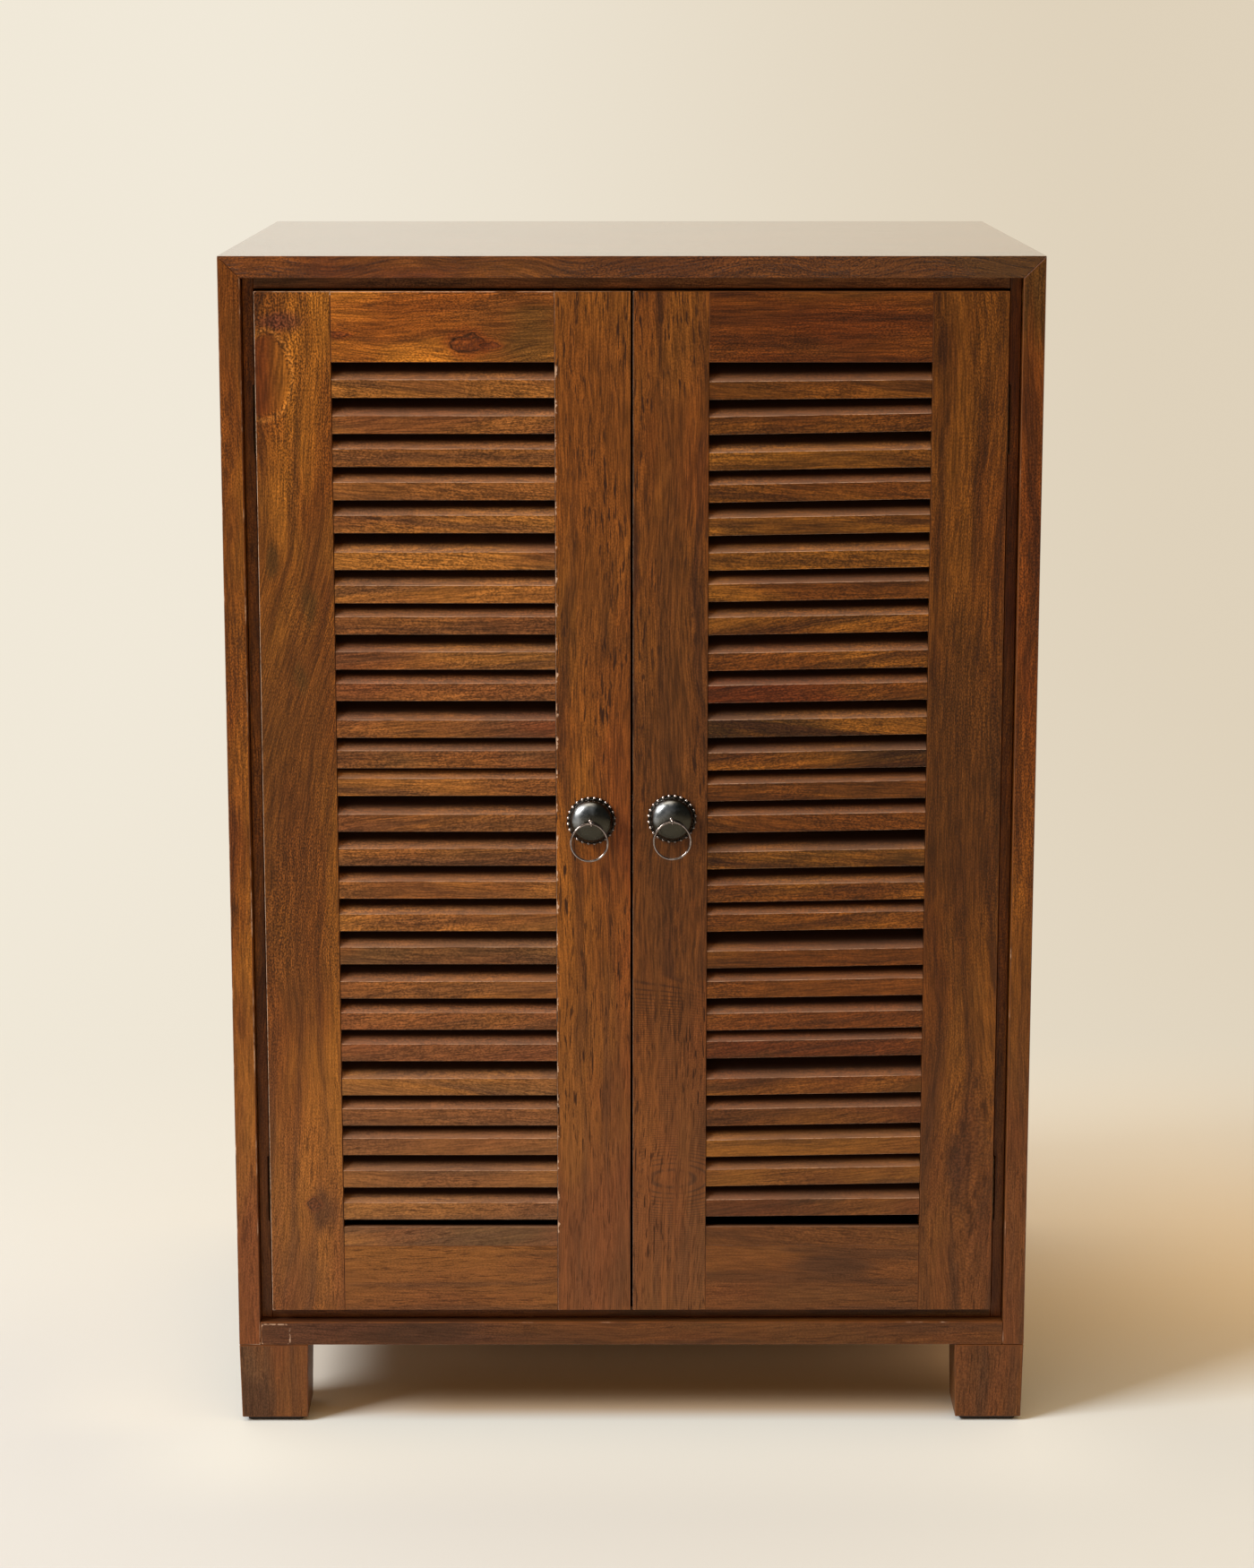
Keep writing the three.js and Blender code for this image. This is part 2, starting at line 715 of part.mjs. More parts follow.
// The eye on its shank has a small ball on top, a little to the left
function eyeBolt(side) {
  const tail = -doorThickness - nutThickness - boltTail;
  const head = -eyeDepth;
  const shank = new THREE.CylinderGeometry(boltRadius, boltRadius, head - tail, boltSides);
  shank.rotateX(Math.PI / 2).translate(0, 0, (head + tail) / 2);
  const eye = new THREE.SphereGeometry(eyeRadius, eyeSides, eyeRings).translate(0, 0, head);
  const hole = new THREE.CylinderGeometry(eyeHoleRadius, eyeHoleRadius, 4 * eyeRadius, boltSides);
  hole.rotateZ(Math.PI / 2).translate(0, 0, head);
  const tip = new THREE.SphereGeometry(eyeTipRadius, eyeTipSides, eyeTipRings);
  tip.translate(-eyeTipAside, eyeTipRise, head);
  const solid = joined([shank, eye, tip].map((part) => toSolid(faceFront(part, side))));
  return piece(`${sideName(side)}_pull_eye_bolt`, cutBy(solid, [toSolid(faceFront(hole, side))]),
    metal(0x55524d, 0.3));
}

function pullNut(side) {
  const corner = (index) => {
    const angle = Math.PI * index / 3;
    return [nutRadius * Math.cos(angle), nutRadius * Math.sin(angle)];
  };
  const shape = outline(Array.from({ length: 6 }, (_, index) => corner(index)));
  const hole = new THREE.Path();
  hole.absarc(0, 0, boltRadius + jointGap, 0, 2 * Math.PI, true);
  shape.holes.push(hole);
  const options = { depth: nutThickness, bevelEnabled: false, curveSegments: boltSides };
  const geometry = new THREE.ExtrudeGeometry(shape, options);
  geometry.translate(0, 0, -doorThickness - jointGap - nutThickness);
  return piece(`${sideName(side)}_pull_nut`, faceFront(geometry, side), metal(0x8a8782, 0.4));
}

// The ring is round but for a slight neck at its top, where it threads the eye
function ringLift(angle) {
  const blend = (ringNeckEnd - Math.abs(angle)) / (ringNeckEnd - ringNeckStart);
  return ringNeck * THREE.MathUtils.smoothstep(blend, 0, 1);
}

// The left ring hangs a little aside
function pullRing(side) {
  const ring = new THREE.TorusGeometry(ringRadius, ringWireRadius, ringSides, ringSteps);
  ring.rotateZ(Math.PI / 2);
  const places = ring.attributes.position;
  for (let index = 0; index < places.count; index += 1) {
    const x = places.getX(index);
    const y = places.getY(index);
    const reach = Math.hypot(x, y);
    const lift = ringLift(Math.atan2(x, y));
    places.setXY(index, x * (reach + lift) / reach, y * (reach + lift) / reach);
  }
  const lean = side === LEFT ? leftRingLean : rightRingLean;
  ring.translate(0, -ringRadius - ringNeck, 0).rotateZ(-lean).translate(0, 0, -eyeDepth);
  return piece(`${sideName(side)}_pull_ring`, faceFront(ring, side), metal(0x6a645c, 0.25));
}

function buildCase() {
  const group = new THREE.Group();
  group.add(topPanel(), bottomPanel(), backPanel());
  for (const side of [LEFT, RIGHT]) {
    group.add(sidePanel(side), uprightStrip(side), shelfCleat(side), magnetCatch(side));
    for (const atFront of [true, false]) {
      group.add(foot(side, atFront), footPad(side, atFront));
    }
    for (const index of [0, 1]) {
      group.add(caseLeaf(side, index), hingePin(side, index));
    }
  }
  const underCeiling = insideCeiling - jointGap;
  const aboveFloor = insideFloor + jointGap;
  group.add(levelStrip('top_channel_strip', insideCeiling - stripWidth, underCeiling));
  group.add(levelStrip('bottom_channel_strip', aboveFloor, insideFloor + stripWidth));
  group.add(shelf());
  return group;
}

function buildDoor(side) {
  const group = new THREE.Group();
  group.add(hingeStile(side), meetingStile(side), topRail(side), bottomRail(side));
  group.add(...slatSets(side));
  group.add(doorLeaf(side, 0), doorLeaf(side, 1), strikePlate(side));
  group.add(rosette(side), eyeBolt(side), pullNut(side), pullRing(side));
  return group;
}

// The front of the case stands far enough forward that case and pulls together are centred
const cabinet = new THREE.Group();
cabinet.position.y = (pullProjection - caseDepth) / 2;
cabinet.add(buildCase(), buildDoor(LEFT), buildDoor(RIGHT));

export default cabinet;
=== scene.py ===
"""A louvred two-door cabinet of brown stained hardwood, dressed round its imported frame."""

import math
from dataclasses import dataclass, field

import bmesh
import bpy
from mathutils import Matrix, Vector


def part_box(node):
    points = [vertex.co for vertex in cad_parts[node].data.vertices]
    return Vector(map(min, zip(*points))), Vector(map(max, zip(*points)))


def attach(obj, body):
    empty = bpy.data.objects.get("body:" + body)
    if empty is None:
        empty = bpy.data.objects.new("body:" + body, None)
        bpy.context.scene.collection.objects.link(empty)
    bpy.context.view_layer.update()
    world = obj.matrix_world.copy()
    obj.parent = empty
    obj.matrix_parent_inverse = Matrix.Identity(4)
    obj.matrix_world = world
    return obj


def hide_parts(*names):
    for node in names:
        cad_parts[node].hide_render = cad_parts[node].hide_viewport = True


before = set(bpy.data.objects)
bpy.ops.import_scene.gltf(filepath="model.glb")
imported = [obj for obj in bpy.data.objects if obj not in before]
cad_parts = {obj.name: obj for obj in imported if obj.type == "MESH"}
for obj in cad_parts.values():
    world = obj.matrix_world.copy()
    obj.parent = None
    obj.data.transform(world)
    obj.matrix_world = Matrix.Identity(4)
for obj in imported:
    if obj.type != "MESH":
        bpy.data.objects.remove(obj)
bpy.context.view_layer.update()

MM = 0.001
LEFT = -1
RIGHT = 1

# Camera, worked out from the photograph's perspective
CAMERA_PLACE = Vector((-10.1, -3061.4, 1067.8)) * MM
CAMERA_DOWN = math.radians(11.257)
CAMERA_RIGHTWARDS = math.radians(0.133)
LENS_MM = 87.3
FILM_MM = 36

# Wood tones under the varnish, as linear colours
GOLD = (0.288, 0.111, 0.012, 1)
BROWN = (0.135, 0.041, 0.005, 1)
RED_BROWN = (0.115, 0.024, 0.004, 1)
DARK_BROWN = (0.034, 0.010, 0.003, 1)
OLIVE_BROWN = (0.066, 0.030, 0.006, 1)
GREY_BROWN = (0.06, 0.03, 0.014, 1)
PLUM_BROWN = (0.075, 0.022, 0.012, 1)
PORE = (0.030, 0.010, 0.003, 1)
KNOT = (0.060, 0.016, 0.005, 1)
PALE_RIM = (0.36, 0.15, 0.03, 1)
# SHADE is not a wood tone: it is painted shade for the back of a slat's slope, where the slat above
# would shade it.
SHADE = (0.010, 0.004, 0.002, 1)
UMBER = (0.075, 0.026, 0.005, 1)
FADED = (0.124, 0.070, 0.036, 1)
# Pale arrises: partly worn stain and partly painted highlight.
WEAR_AND_HIGHLIGHT = (0.56, 0.40, 0.29, 1)
# This grey is partly dust and partly painted sheen on the slats' slopes.
DUST_AND_SHEEN = (0.20, 0.11, 0.07, 1)
WOOD_LIGHT = 1.04

# The wood's noises: waves to the metre (along, across, inwards), detail, roughness, distortion
SLOW_BEND = ((2.4, 8, 8), 1)
QUICK_BEND = ((16, 46, 46), 2)
CURL = ((7, 10, 10), 1)
SPECK = ((560, 1050, 1050), 1)
DASH = ((75, 780, 780), 1)
HAIR = ((55, 1000, 1000), 1)
THREAD = ((22, 380, 380), 2, 0.6)
STREAK = ((5, 90, 90), 2, 0.55)
LIVELY = ((11, 26, 26), 2)
PATCH = ((4.5, 15, 15), 3, 0.55)
CLOUD = ((13, 3.6, 9), 3)
SHADOW = ((7, 21, 21), 2, 0.5, 0.6)
KNOT_LUMP = ((150, 190, 190), 2)
KNOT_CRUMB = ((420, 700, 700), 2)

# Noises that are the same every way: waves to the metre, detail, roughness
CRUMB = (330, 2)
WEAR_AND_HIGHLIGHT_RUN = (34, 3, 0.65)
WEAR_AND_HIGHLIGHT_CHIP = (420, 1)
ARRIS_TONE = (60, 3)
METAL_GRIT = (2400, 2)
MOULD_SKIN = (900, 3)
BLACKENED_CLOUD = (160, 3, 0.6)
BRIGHT_METAL_CLOUD = (500, 2)

# Fades of the grain: from and to what value of its noise, and the shares there
GOLD_FADE = (0.38, 0.6)
RED_FADE = (0.44, 0.64)
OLIVE_FADE = (0.48, 0.7)
STREAK_FADE = (0.42, 0.68)
STREAK_SHARE = 0.8
DASH_FADE = (0.57, 0.68)
RING_FADE = (0.1, 1.0)
RING_STREAK_FADE = (0.35, 0.6)
THREAD_FADE = (0.32, 0.7, 0.8, 1.2)
HAIR_FADE = (0.3, 0.7, 0.68, 1.32)
LIVELY_FADE = (0.36, 0.62, 0.4, 1.0)
SPECK_FADE = (0.35, 0.66)
SPECK_LIGHT = (-0.62, 1.0)

# How the fibres bend: shares, metres, and radians to the metre for the growth rings
SHIFT_SHARE = 0.37
QUICK_REACH = 4 * MM
RING_TURN = 260
RING_WANDER = 0.02
RING_RIPPLE = 3
ARCH_TURN = 330
PUSH_FADE = (0.4, 3.2)
PUSH_SHARE = 0.7
PUSH_FLANK = 1.6

# Stains, knots and smooth spots, measured in shares of their own size
STAIN_RAGGED = 1.6
STAIN_FADE = (0.35, 1.15, 0.8, 0.0)
KNOT_RAGGED = 1.5
KNOT_DASHED = 0.4
KNOT_HALO = (0.8, 2.4)
HALO_SHARE = 0.6
KNOT_CORE = (0.8, 1.0)
KNOT_CRUMBLE = (0.4, 0.62, 0.2, 1.0)
KNOT_RIM_PLACE = 0.95
KNOT_RIM = (0.04, 0.24)
SMOOTH_RAGGED = 0.3
SMOOTH_INSIDE = (0.8, 0.97, 1.0, 0.0)
SMOOTH_RIM_PLACE = 1.02
SMOOTH_RIM = (0.0, 0.1, 0.3, 0.0)
SMOOTH_FLANK = (-0.2, 0.9)
SMOOTH_GOLD = 0.6
SMOOTH_RED = 0.65
SMOOTH_LIFE = 0.2

# Heights between which the wood changes towards the foot, and by how much; the brightening towards
# the foot is painted light
PAINTED_FOOT_LIGHT = 0.12
PAINTED_LIGHT_HEIGHTS = (0.9, 0.1)
CALM_AT_FOOT = 0.5
CALM_HEIGHTS = (0.12, 0.5)
FADED_AT_FOOT = 0.29
FADED_HEIGHTS = (0.42, 0.1)

# Wide faces hold less gold behind the front
GOLD_DEPTHS = (0.03, 0.12)
GOLD_INSIDE = 0.5

# Relief and gloss of the varnished wood
GRAIN_HEIGHT = 0.1 * MM
GRAIN_STRENGTH = 0.4
PORE_DULL = 0.4
SPECK_RELIEF = 0.4
HAIR_RELIEF = 0.6
GLOSS_FADE = (0.3, 0.9)
WOOD_ROUGHNESS = (0.34, 0.5)
COAT_ROUGHNESS = 0.06

# Outlines of plugs, and the painted highlights beside a louvre's openings
PLUG_LINE = (0.25 * MM, 0.8 * MM)
OPENING_HIGHLIGHT_TURNS = ((0.04, 0.16), (0.4, 0.52))
OPENING_HIGHLIGHT_REACH = (0.2 * MM, 1.2 * MM)
OPENING_HIGHLIGHT_RAGGED = 6 * MM

# Slats: the louvres of a door, counted from the top
SLAT_COUNT = 26
SILL_HEIGHT = 15.2 * MM
SILL_GAP = 6.9 * MM
SLAT_SLOPE = math.radians(45)
SLAT_TILT = {LEFT: 0.0, RIGHT: math.radians(1)}
SLAT_TOP_SHARE = 0.24
SLAT_LIGHT = {LEFT: 1.05, RIGHT: 0.68}
SLAT_FADED = {LEFT: 0.25, RIGHT: 0.05}
SLAT_SEED = {LEFT: 12.2, RIGHT: 22.4}
SLAT_SHIFT = 0.613
SLAT_SKEW = 0.25

# Fades on slats: from and to what value, and the shares there
SLAT_GOLD = (0.1, 0.9, 0.35, 1.0)
SLAT_RED = (0.45, 1.0, 0.1, 1.0)
SLAT_DARK = (0.4, 1.0, 0.1, 1.0)
SLAT_UPWARD = (0.15, 0.6)
SLAT_DUST_AND_SHEEN = (0.0, 4 * MM, 0.5, 0.25)
# The slat shade fade lays painted shade on the back of each slope.
SLAT_SHADE = (2 * MM, 7 * MM, 0.0, 0.96)
SLAT_FRONT = (1 * MM, 2.5 * MM, 1.0, 0.0)

# Arrises of a slat that are worn and carry a painted highlight: how far their faces look up, and
# the fade about that
SLAT_UNDER_EDGE = (-0.45, (0.2, 0.4, 0.55, 0.0))
SLAT_UPPER_EDGE = (0.4, (0.15, 0.35, 0.5, 0.0))

# Rounding of the arrises, and their wear and painted highlights
BOARD_ROUND = 0.7 * MM
JOINT_ROUND = 0.35 * MM
SLAT_ROUND = 1.3 * MM
METAL_ROUND = 0.15 * MM
WELD_REACH = 0.01 * MM
FLAT_ANGLE = math.radians(0.5)
ARRIS_ANGLE = math.radians(35)
ARRIS_REACH = (2 * MM, 3 * MM)
ARRIS_DARK = (0.4, 0.65, 0.0, 0.5)
ARRIS_WEAR = 0.16
WEAR_AND_HIGHLIGHT_FADE = (0.8, 1.05)
WEAR_AND_HIGHLIGHT_CHIP_FADE = (0.3, 0.5, 0.35, 1.0)

# Ring pulls
BEAD_COUNT = 24
BEAD_RADIUS = 1.15 * MM
BEAD_CIRCLE = 17.7 * MM
DOME_RADIUS = 16.2 * MM
DOME_FULLNESS = 0.76
DOME_TOP = 11.4 * MM
DOME_CROWDING = 1.3
DOME_STEPS = 30
DOME_SIDES = 96
RIM_RADIUS = 18.2 * MM
RIM_THICKNESS = 1.6 * MM
RIM_EASE = (0.7 * MM, 0.2 * MM)
RIM_BACK = 0.25 * MM
GRIME_TOP = RIM_THICKNESS + 0.5 * MM
EYE_AHEAD = 14.2 * MM
EYE_WIRE = 0.6 * MM
EYE_LOOP = 1.75 * MM
EYE_STEPS = 28
EYE_SIDES = 12
NECK_SIDES = 24
NECK_SINK = 0.4
EYE_BALL_RADIUS = 1.15 * MM
EYE_BALL_PLACE = (-1.0 * MM, 2.5 * MM)
RING_RADIUS = 13.9 * MM
RING_WIRE = 0.85 * MM
RING_STEPS = 96
RING_SIDES = 14
RING_NECK = 0.7 * MM
RING_NECK_START = math.radians(8)
RING_NECK_END = math.radians(60)
RING_LEAN = {"left": math.radians(6), "right": 0.0}

# Metals: colour, stain, roughness and waves to the metre of the stain
HINGE_BRONZE = ((0.1, 0.06, 0.03, 1), (0.045, 0.03, 0.02, 1), 0.42, 260)
ZINC_PLATE = ((0.62, 0.61, 0.58, 1), (0.42, 0.4, 0.37, 1), 0.33, 260)
PULL_WIRE = ((0.34, 0.28, 0.25, 1), (0.16, 0.13, 0.115, 1), 0.16, 300)
RIM_GRIME = ((0.03, 0.025, 0.02, 1), (0.015, 0.012, 0.01, 1), 0.5, 260)
METAL_RELIEF = 0.05 * MM

# Blackened and bead metal: dull colours, painted highlight colours, and from where to where the
# painted highlight comes in
BLACKENED_AND_HIGHLIGHT = ((0.056, 0.052, 0.04, 1), (0.35, 0.355, 0.35, 1), (0.76, 0.985))
BEAD_HIGHLIGHT = ((0.2, 0.16, 0.14, 1), (0.85, 0.72, 0.66, 1), (-10 * MM, 13 * MM))
METAL_HIGHLIGHT_FACING = (-0.43, -0.77, 0.47)
METAL_HIGHLIGHT_RAGGED = 0.2
BEAD_HIGHLIGHT_LEAN = 0.8

# Plastic and rubber: colour and roughness
CATCH_PLASTIC = ((0.12, 0.065, 0.035, 1), 0.55)
PAD_RUBBER = ((0.025, 0.022, 0.02, 1), 0.85)
MOULD_STAIN = (0.02, 0.015, 0.012, 1)
MOULD_RELIEF = 0.08 * MM

# Sweep: its half breadth, front end, back wall and height, and the curve between
SWEEP_REACH = 9.0
SWEEP_FRONT = -9.0
SWEEP_BACK = 4.6
SWEEP_HEIGHT = 6.0
SWEEP_BEND = 1.6
SWEEP_STEPS = 24

# Colours of floor and backdrop at their left and right; the far floor's right colour is painted
# light in the cabinet's shadow
SIDE_REACH = (-0.9, 1.1)
NEAR_FLOOR = ((0.545, 0.615, 0.67, 1), (0.57, 0.64, 0.66, 1))
FAR_FLOOR_AND_SHADOW_LIGHT = ((0.57, 0.645, 0.69, 1), (0.96, 0.91, 0.71, 1))
FAR_DEPTHS = (-0.3, 0.15)
FAR_RIGHT_END = (0.5, 0.9)
BACKDROP = ((0.875, 0.812, 0.69, 1), (0.735, 0.64, 0.495, 1))
BACKDROP_DEPTHS = (-0.05, 0.95)

# Patches of painted light and shade on the floor: rise and fall from left to right, then from front
# to back
BESIDE = (((-0.52, -0.36), (-0.28, -0.2)), ((-0.3, -0.2), (0.0, 0.3)))
PAINTED_LIGHT_BESIDE = (0.62, 0.685, 0.705, 1)
BELOW = (((-0.31, -0.27), (0.25, 0.3)), ((-0.248, -0.212), (0.15, 0.25)))
PAINTED_SHADE_AND_LIGHT_BELOW = ((0.52, 0.42, 0.3, 1), (0.98, 0.88, 0.76, 1))
BELOW_DEPTHS = (-0.19, -0.09)
PAINTED_LIGHT_BELOW_LEFT = (0.70, 0.67, 0.6, 1)
BELOW_LEFT_END = (-0.25, -0.13)
AHEAD_DEPTHS = ((-0.46, -0.3), (-0.25, -0.15))
AHEAD_ASIDE = (0.27, 0.45)
PAINTED_LIGHT_AHEAD = (0.63, 0.705, 0.73, 1)

# Lamps: place, target, size, power and colour
KEY_LAMP = ((-7.8, -4.4, 6.6), (0.0, -0.2, 0.35), (4.4, 3.6), 1290, (0.98, 0.98, 0.98))
OVERHEAD_LAMP = ((-0.4, -0.5, 3.3), (0.0, 0.0, 0.0), (2.0, 2.0), 30, (1.0, 0.88, 0.72))

# The room: its light, and what glossy and camera rays find instead
ROOM_LIGHT = (1.0, 0.58, 0.26, 1)
ROOM_STRENGTH = 0.76
ROOM_SEEN = {"Is Glossy Ray": (0.1, 0.11, 0.12, 1), "Is Camera Ray": (0.86, 0.80, 0.69, 1)}


class Graph:
    """One material's nodes. Its methods take numbers or sockets and give a socket back."""

    def __init__(self, name):
        self.material = bpy.data.materials.new(name)
        self.material.use_nodes = True
        self.nodes = self.material.node_tree.nodes
        self.links = self.material.node_tree.links
        self.nodes.clear()
        coordinates = self.nodes.new("ShaderNodeTexCoord")
        self.place = coordinates.outputs["Object"]
        self.facing = coordinates.outputs["Normal"]
        self.x, self.y, self.z = self.split(self.place)

    def feed(self, socket, value):
        if isinstance(value, bpy.types.NodeSocket):
            self.links.new(value, socket)
        elif value is not None:
            socket.default_value = value

    def maths(self, operation, first, second=None):
        node = self.nodes.new("ShaderNodeMath")
        node.operation = operation
        for socket, value in zip(node.inputs, (first, second)):
            self.feed(socket, value)
        return node.outputs[0]

    def add(self, first, second):
        return self.maths("ADD", first, second)

    def less(self, first, second):
        return self.maths("SUBTRACT", first, second)

    def times(self, first, second):
        return self.maths("MULTIPLY", first, second)

    def apart(self, first, second):
        """How far two values are apart."""
        return self.maths("ABSOLUTE", self.less(first, second))

    def length(self, first, second):
        """How long the way is of two steps at right angles."""
        return self.maths("SQRT", self.add(self.times(first, first), self.times(second, second)))

    def split(self, vector):
        node = self.nodes.new("ShaderNodeSeparateXYZ")
        self.feed(node.inputs[0], vector)
        return node.outputs[0], node.outputs[1], node.outputs[2]

    def join(self, first, second, third):
        node = self.nodes.new("ShaderNodeCombineXYZ")
        for socket, value in zip(node.inputs, (first, second, third)):
            self.feed(socket, value)
        return node.outputs[0]

    def noise(self, vector, waves, detail, roughness=0.5, distortion=0.0):
        """Noise of a place, with so many waves to the metre along each of its axes."""
        stretch = self.nodes.new("ShaderNodeVectorMath")
        stretch.operation = "MULTIPLY"
        self.feed(stretch.inputs[0], vector)
        stretch.inputs[1].default_value = waves
        node = self.nodes.new("ShaderNodeTexNoise")
        self.links.new(stretch.outputs[0], node.inputs["Vector"])
        node.inputs["Scale"].default_value = 1
        node.inputs["Detail"].default_value = detail
        node.inputs["Roughness"].default_value = roughness
        node.inputs["Distortion"].default_value = distortion
        return node.outputs["Fac"]

    def grit(self, waves, detail, roughness=0.5):
        """Noise that is the same every way."""
        return self.noise(self.place, (waves, waves, waves), detail, roughness)

    def swing(self, noise, reach):
        """A noise, brought to swing about nought and scaled by its reach."""
        return self.times(self.less(noise, 0.5), reach)

    def chance(self, value):
        node = self.nodes.new("ShaderNodeTexWhiteNoise")
        node.noise_dimensions = "1D"
        self.feed(node.inputs["W"], value)
        return self.split(node.outputs["Color"])

    def fade(self, value, low, high, start=0.0, end=1.0):
        """Goes smoothly from start to end while the value goes from low to high."""
        node = self.nodes.new("ShaderNodeMapRange")
        node.interpolation_type = "SMOOTHSTEP"
        for socket, given in zip(node.inputs, (value, low, high, start, end)):
            self.feed(socket, given)
        return node.outputs[0]

    def band(self, value, rise, fall):
        """1 between a rise and a fall, each given by its two ends."""
        return self.times(self.fade(value, *rise), self.fade(value, *fall, 1.0, 0.0))

    def mix(self, share, first, second, blend="MIX"):
        node = self.nodes.new("ShaderNodeMix")
        node.data_type = "RGBA"
        node.blend_type = blend
        self.feed(node.inputs[0], share)
        self.feed(node.inputs[6], first)
        self.feed(node.inputs[7], second)
        return node.outputs[2]

    def grey(self, value):
        return self.join(value, value, value)

    def bump(self, height, distance, strength):
        node = self.nodes.new("ShaderNodeBump")
        node.inputs["Strength"].default_value = strength
        node.inputs["Distance"].default_value = distance
        self.feed(node.inputs["Height"], height)
        return node.outputs[0]

    def surface(self, **inputs):
        shader = self.nodes.new("ShaderNodeBsdfPrincipled")
        for label, value in inputs.items():
            self.feed(shader.inputs[label.replace("_", " ")], value)
        output = self.nodes.new("ShaderNodeOutputMaterial")
        self.links.new(shader.outputs[0], output.inputs["Surface"])
        return self.material


@dataclass
class Grain:
    """How a board's grain runs, and how strong each of its tones is.

    Places are in metres in the cabinet's frame. Knots are (along, across, half length,
    half width, darkness), arches (along, across, reach, bend), stains (along, across,
    half length, half width, tone), smooth spots (along, across, half length, half width) and
    slants (along, half length, slope). Plugs are outlined patches (middle x, middle z, half
    breadth, half height, corner). The wear and highlight field gives the share of wear and of
    painted highlight on the arrises of a side of the board: left, right, top or bottom. The
    painted highlight door names the door beside whose louvre openings a painted highlight lies
    along the board's left side.
    """

    runs: str
    seed: float
    gold: float = 0.6
    red: float = 0.5
    dark: float = 0.5
    wander: float = 0.02
    curl: float = 0.0
    lines: float = 0.5
    specks: float = 0.6
    dashes: float = 0.6
    light: float = 1.0
    faded: float = 0.0
    level: float = 0.16
    polish: float = 1.0
    coat: float = 0.0
    knots: tuple = ()
    arches: tuple = ()
    stains: tuple = ()
    smooth: tuple = ()
    slants: tuple = ()
    plugs: tuple = ()
    painted_highlight_door: str = ""
    wear_and_highlight: dict = field(default_factory=dict)


def shares(graph, along, across, spot):
    """How far a place is from a spot, in shares of the spot's half length and half width."""
    place, side, half_length, half_width = spot[:4]
    far = graph.maths("DIVIDE", graph.less(along, place), half_length)
    wide = graph.maths("DIVIDE", graph.less(across, side), half_width)
    return far, wide


def spread(graph, along, across, spot):
    """Distance from a spot: nought in its middle and 1 on an oval round it."""
    far, wide = shares(graph, along, across, spot)
    return graph.length(far, wide)


def lens(graph, along, across, spot):
    """Like spread, but the form round the spot is pointed at both ends along the fibres."""
    far, wide = shares(graph, along, across, spot)
    return graph.add(graph.times(far, far), graph.maths("ABSOLUTE", wide))


def bend_fibres(graph, along, across, here, slow, quick, grain):
    """The place across, bent by the board's wander and round its slants, knots and smooth spots."""
    bent = graph.add(graph.swing(slow, grain.wander * 2), graph.swing(quick, QUICK_REACH))
    if grain.curl:
        bent = graph.add(bent, graph.swing(graph.noise(here, *CURL), grain.curl))
    flow = graph.add(across, bent)
    for place, reach, slope in grain.slants:
        rise = slope * reach
        flow = graph.less(flow, graph.fade(along, place - reach, place + reach, -rise, rise))
    for spot in grain.knots + grain.smooth:
        side, half_width = spot[1], spot[3]
        flank, reach = half_width * PUSH_FLANK, half_width * PUSH_SHARE
        near = graph.fade(spread(graph, along, across, spot), *PUSH_FADE, reach, 0.0)
        push = graph.fade(graph.less(across, side), -flank, flank, 1.0, -1.0)
        flow = graph.add(flow, graph.times(near, push))
    return flow


def growth_rings(graph, along, across, flow, slow, quick, grain):
    """Waves from ring to ring: along the fibres, or in arches where a board was cut that way."""
    ring = graph.times(graph.add(flow, graph.times(slow, RING_WANDER)), RING_TURN)
    for place, side, reach, bend in grain.arches:
        lean = graph.less(across, side)
        cup = graph.times(graph.times(lean, lean), bend)
        near = graph.fade(graph.apart(along, place), 0.0, reach, 1.0, 0.0)
        arch = graph.times(graph.less(along, cup), ARCH_TURN)
        ring = graph.split(graph.mix(near, graph.grey(ring), graph.grey(arch)))[0]
    return graph.maths("SINE", graph.add(ring, graph.times(quick, RING_RIPPLE)))


def lay_knots(graph, colour, along, across, here, dash, knots):
    """Ragged knots, each with a red halo, a crumbled core and a dark rim."""
    lumps = graph.noise(here, *KNOT_LUMP)
    crumbs = graph.noise(here, *KNOT_CRUMB)
    for knot in knots:
        darkness = knot[4]
        ragged = graph.add(lens(graph, along, across, knot), graph.swing(lumps, KNOT_RAGGED))
        ragged = graph.add(ragged, graph.swing(dash, KNOT_DASHED))
        halo = graph.fade(ragged, *KNOT_HALO, darkness * HALO_SHARE, 0.0)
        core = graph.fade(ragged, *KNOT_CORE, darkness, 0.0)
        core = graph.times(core, graph.fade(crumbs, *KNOT_CRUMBLE))
        rim = graph.fade(graph.apart(ragged, KNOT_RIM_PLACE), *KNOT_RIM, darkness, 0.0)
        colour = graph.mix(halo, colour, RED_BROWN)
        colour = graph.mix(core, colour, KNOT)
        colour = graph.mix(rim, colour, PORE)
    return colour


